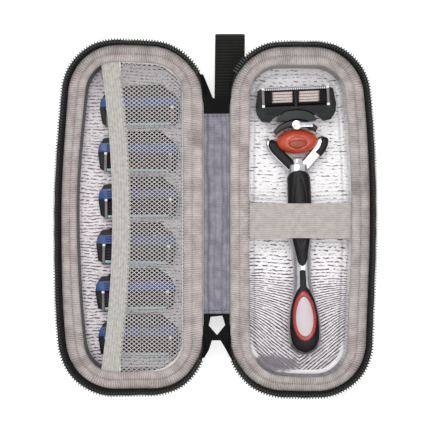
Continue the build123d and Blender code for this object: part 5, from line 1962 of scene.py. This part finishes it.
    def ball_and_button(self) -> None:
        """Oval ball with its recess, and the button that slides in it."""
        half_x, half_y, deep = self.recess
        rows = []
        for turn in np.linspace(0.03, np.pi - 0.03, 60):
            x, radius = self.ball_half * math.cos(turn), self.ball_radius * math.sin(turn)
            ring = []
            for spin in np.linspace(0, 2 * np.pi, 72, endpoint=False):
                y, z = radius * math.cos(spin), radius * math.sin(spin)
                if z > 0:
                    place = math.hypot(x / half_x, (y - self.recess_y) / half_y)
                    z -= deep / (1 + math.exp((place - 1) * 14)) * min(1.0, z / 4)
                ring.append((x, y, z))
            rows.append(ring)
        self.skin("ball_gloss", rows, Look.BALL, "razor_ball")
        rows = []
        for share, lift in ((1.0, 0.0), (1.0, 0.7), (0.94, 0.95), (0.8, 1.15), (0.55, 1.3), (0.3, 1.36),
                            (0.05, 1.38)):
            line = oval(self.button_half[0] * share, self.button_half[1] * share, 48, power=2.4)
            ridge = 0.1 * np.cos(line[:, 0] * 4.2) * (share < 0.9)
            rows.append(np.column_stack([line + (0, self.button_y), self.button_low + lift + ridge]))
        self.skin("release_button_cap", rows, Look.BUTTON, "razor_release_button", body="release_button")

    def swivel_ring(self) -> None:
        """Dark arched band round the head side of the ball."""
        rows = []
        for turn in np.radians(np.linspace(*self.band_span, 70)):
            way = np.array([math.cos(turn), math.sin(turn)])
            outer, inner = way * self.band_outer, way * self.band_inner
            middle, half = (outer + inner) / 2, (outer - inner) / 2
            width = float(np.linalg.norm(half))
            rows.append([(*(middle + half / width * across), up + 0.2)
                         for across, up in oval(width, self.band_half, 24, power=3.6)])
        self.skin("swivel_band", rows, Look.BAND, "razor_swivel_ring", "head_plastic", "razor_head", sharp=60)

    def beads(self) -> None:
        """Fine beads along the top edge of the mounted cartridge."""
        across, along, up = self.bead_end
        line = self.put([(-across, along, up), (across, along, up)])
        piece = Repeat.along("strip_beads", line, Look.BEAD, 1.1, (0.8, 1.15, 0.5), sides=8)
        Place.ride(piece, "razor_cartridge", "strip_white")


@dataclass
class Studio:
    """Plain pale floor, soft light and the camera over the case."""

    eye: Point = (-0.9, -0.7, 718.4)
    lens: float = 110.0
    sky: float = 0.95
    horizon: float = 0.15
    lamp: float = 4.6

    def build(self) -> None:
        """Adds the floor, the lights and the camera."""
        self.floor()
        self.light()
        self.camera()

    def floor(self) -> None:
        """Wide paper floor under the case."""
        reach = 2.0
        mesh = bpy.data.meshes.new("paper_floor")
        mesh.from_pydata([(-reach, -reach, 0), (reach, -reach, 0), (reach, reach, 0), (-reach, reach, 0)], [],
                         [(0, 1, 2, 3)])
        mesh.materials.append(Look.PAPER.make())
        floor = link("paper_floor", mesh)

    def light(self) -> None:
        """Even sky and two large soft lamps."""
        world = bpy.data.worlds.new("studio")
        world.use_nodes = True
        shade = world.node_tree.nodes["Background"]
        shade.inputs["Color"].default_value = (1.0, 1.0, 1.0, 1.0)
        graph = Graph(world.node_tree)
        up = graph.split(graph.node("ShaderNodeTexCoord").outputs["Generated"])[2]
        graph.join(graph.span(up, 0.05, 0.6, self.horizon, self.sky), shade.inputs["Strength"])
        bpy.context.scene.world = world
        for name, place, size, power in (("key", (-0.2, 0.45, 1.3), 0.7, self.lamp * 1.3),
                                         ("fill", (0.3, -0.3, 1.35), 0.9, self.lamp * 0.8)):
            lamp = bpy.data.lights.new(name, "AREA")
            lamp.shape = "SQUARE"
            lamp.size = size
            lamp.energy = power
            holder = link(name, lamp)
            holder.location = place
            holder.rotation_euler = (-Vector(place)).to_track_quat("-Z", "Y").to_euler()

    def camera(self) -> None:
        """Camera straight above the open case."""
        lens = bpy.data.cameras.new("camera")
        lens.lens = self.lens
        lens.sensor_width = 36.0
        holder = link("camera", lens)
        holder.location = tuple(value * MM for value in self.eye)
        bpy.context.scene.camera = holder
        bpy.context.scene.view_settings.view_transform = "Standard"


def main() -> None:
    """Builds every piece of the dressed part and the studio round it."""
    logging.basicConfig(level=logging.INFO, format="%(message)s")
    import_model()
    for side in Side:
        HalfCase(side).build()
    Spine().build()
    HandLoop().build()
    HoldingStrap().build()
    Pocket().build()
    for number in range(1, 7):
        Cartridge(f"spare_{number}", "left_half", False).build()
    Razor().build()
    Studio().build()


if __name__ == "__main__":
    main()
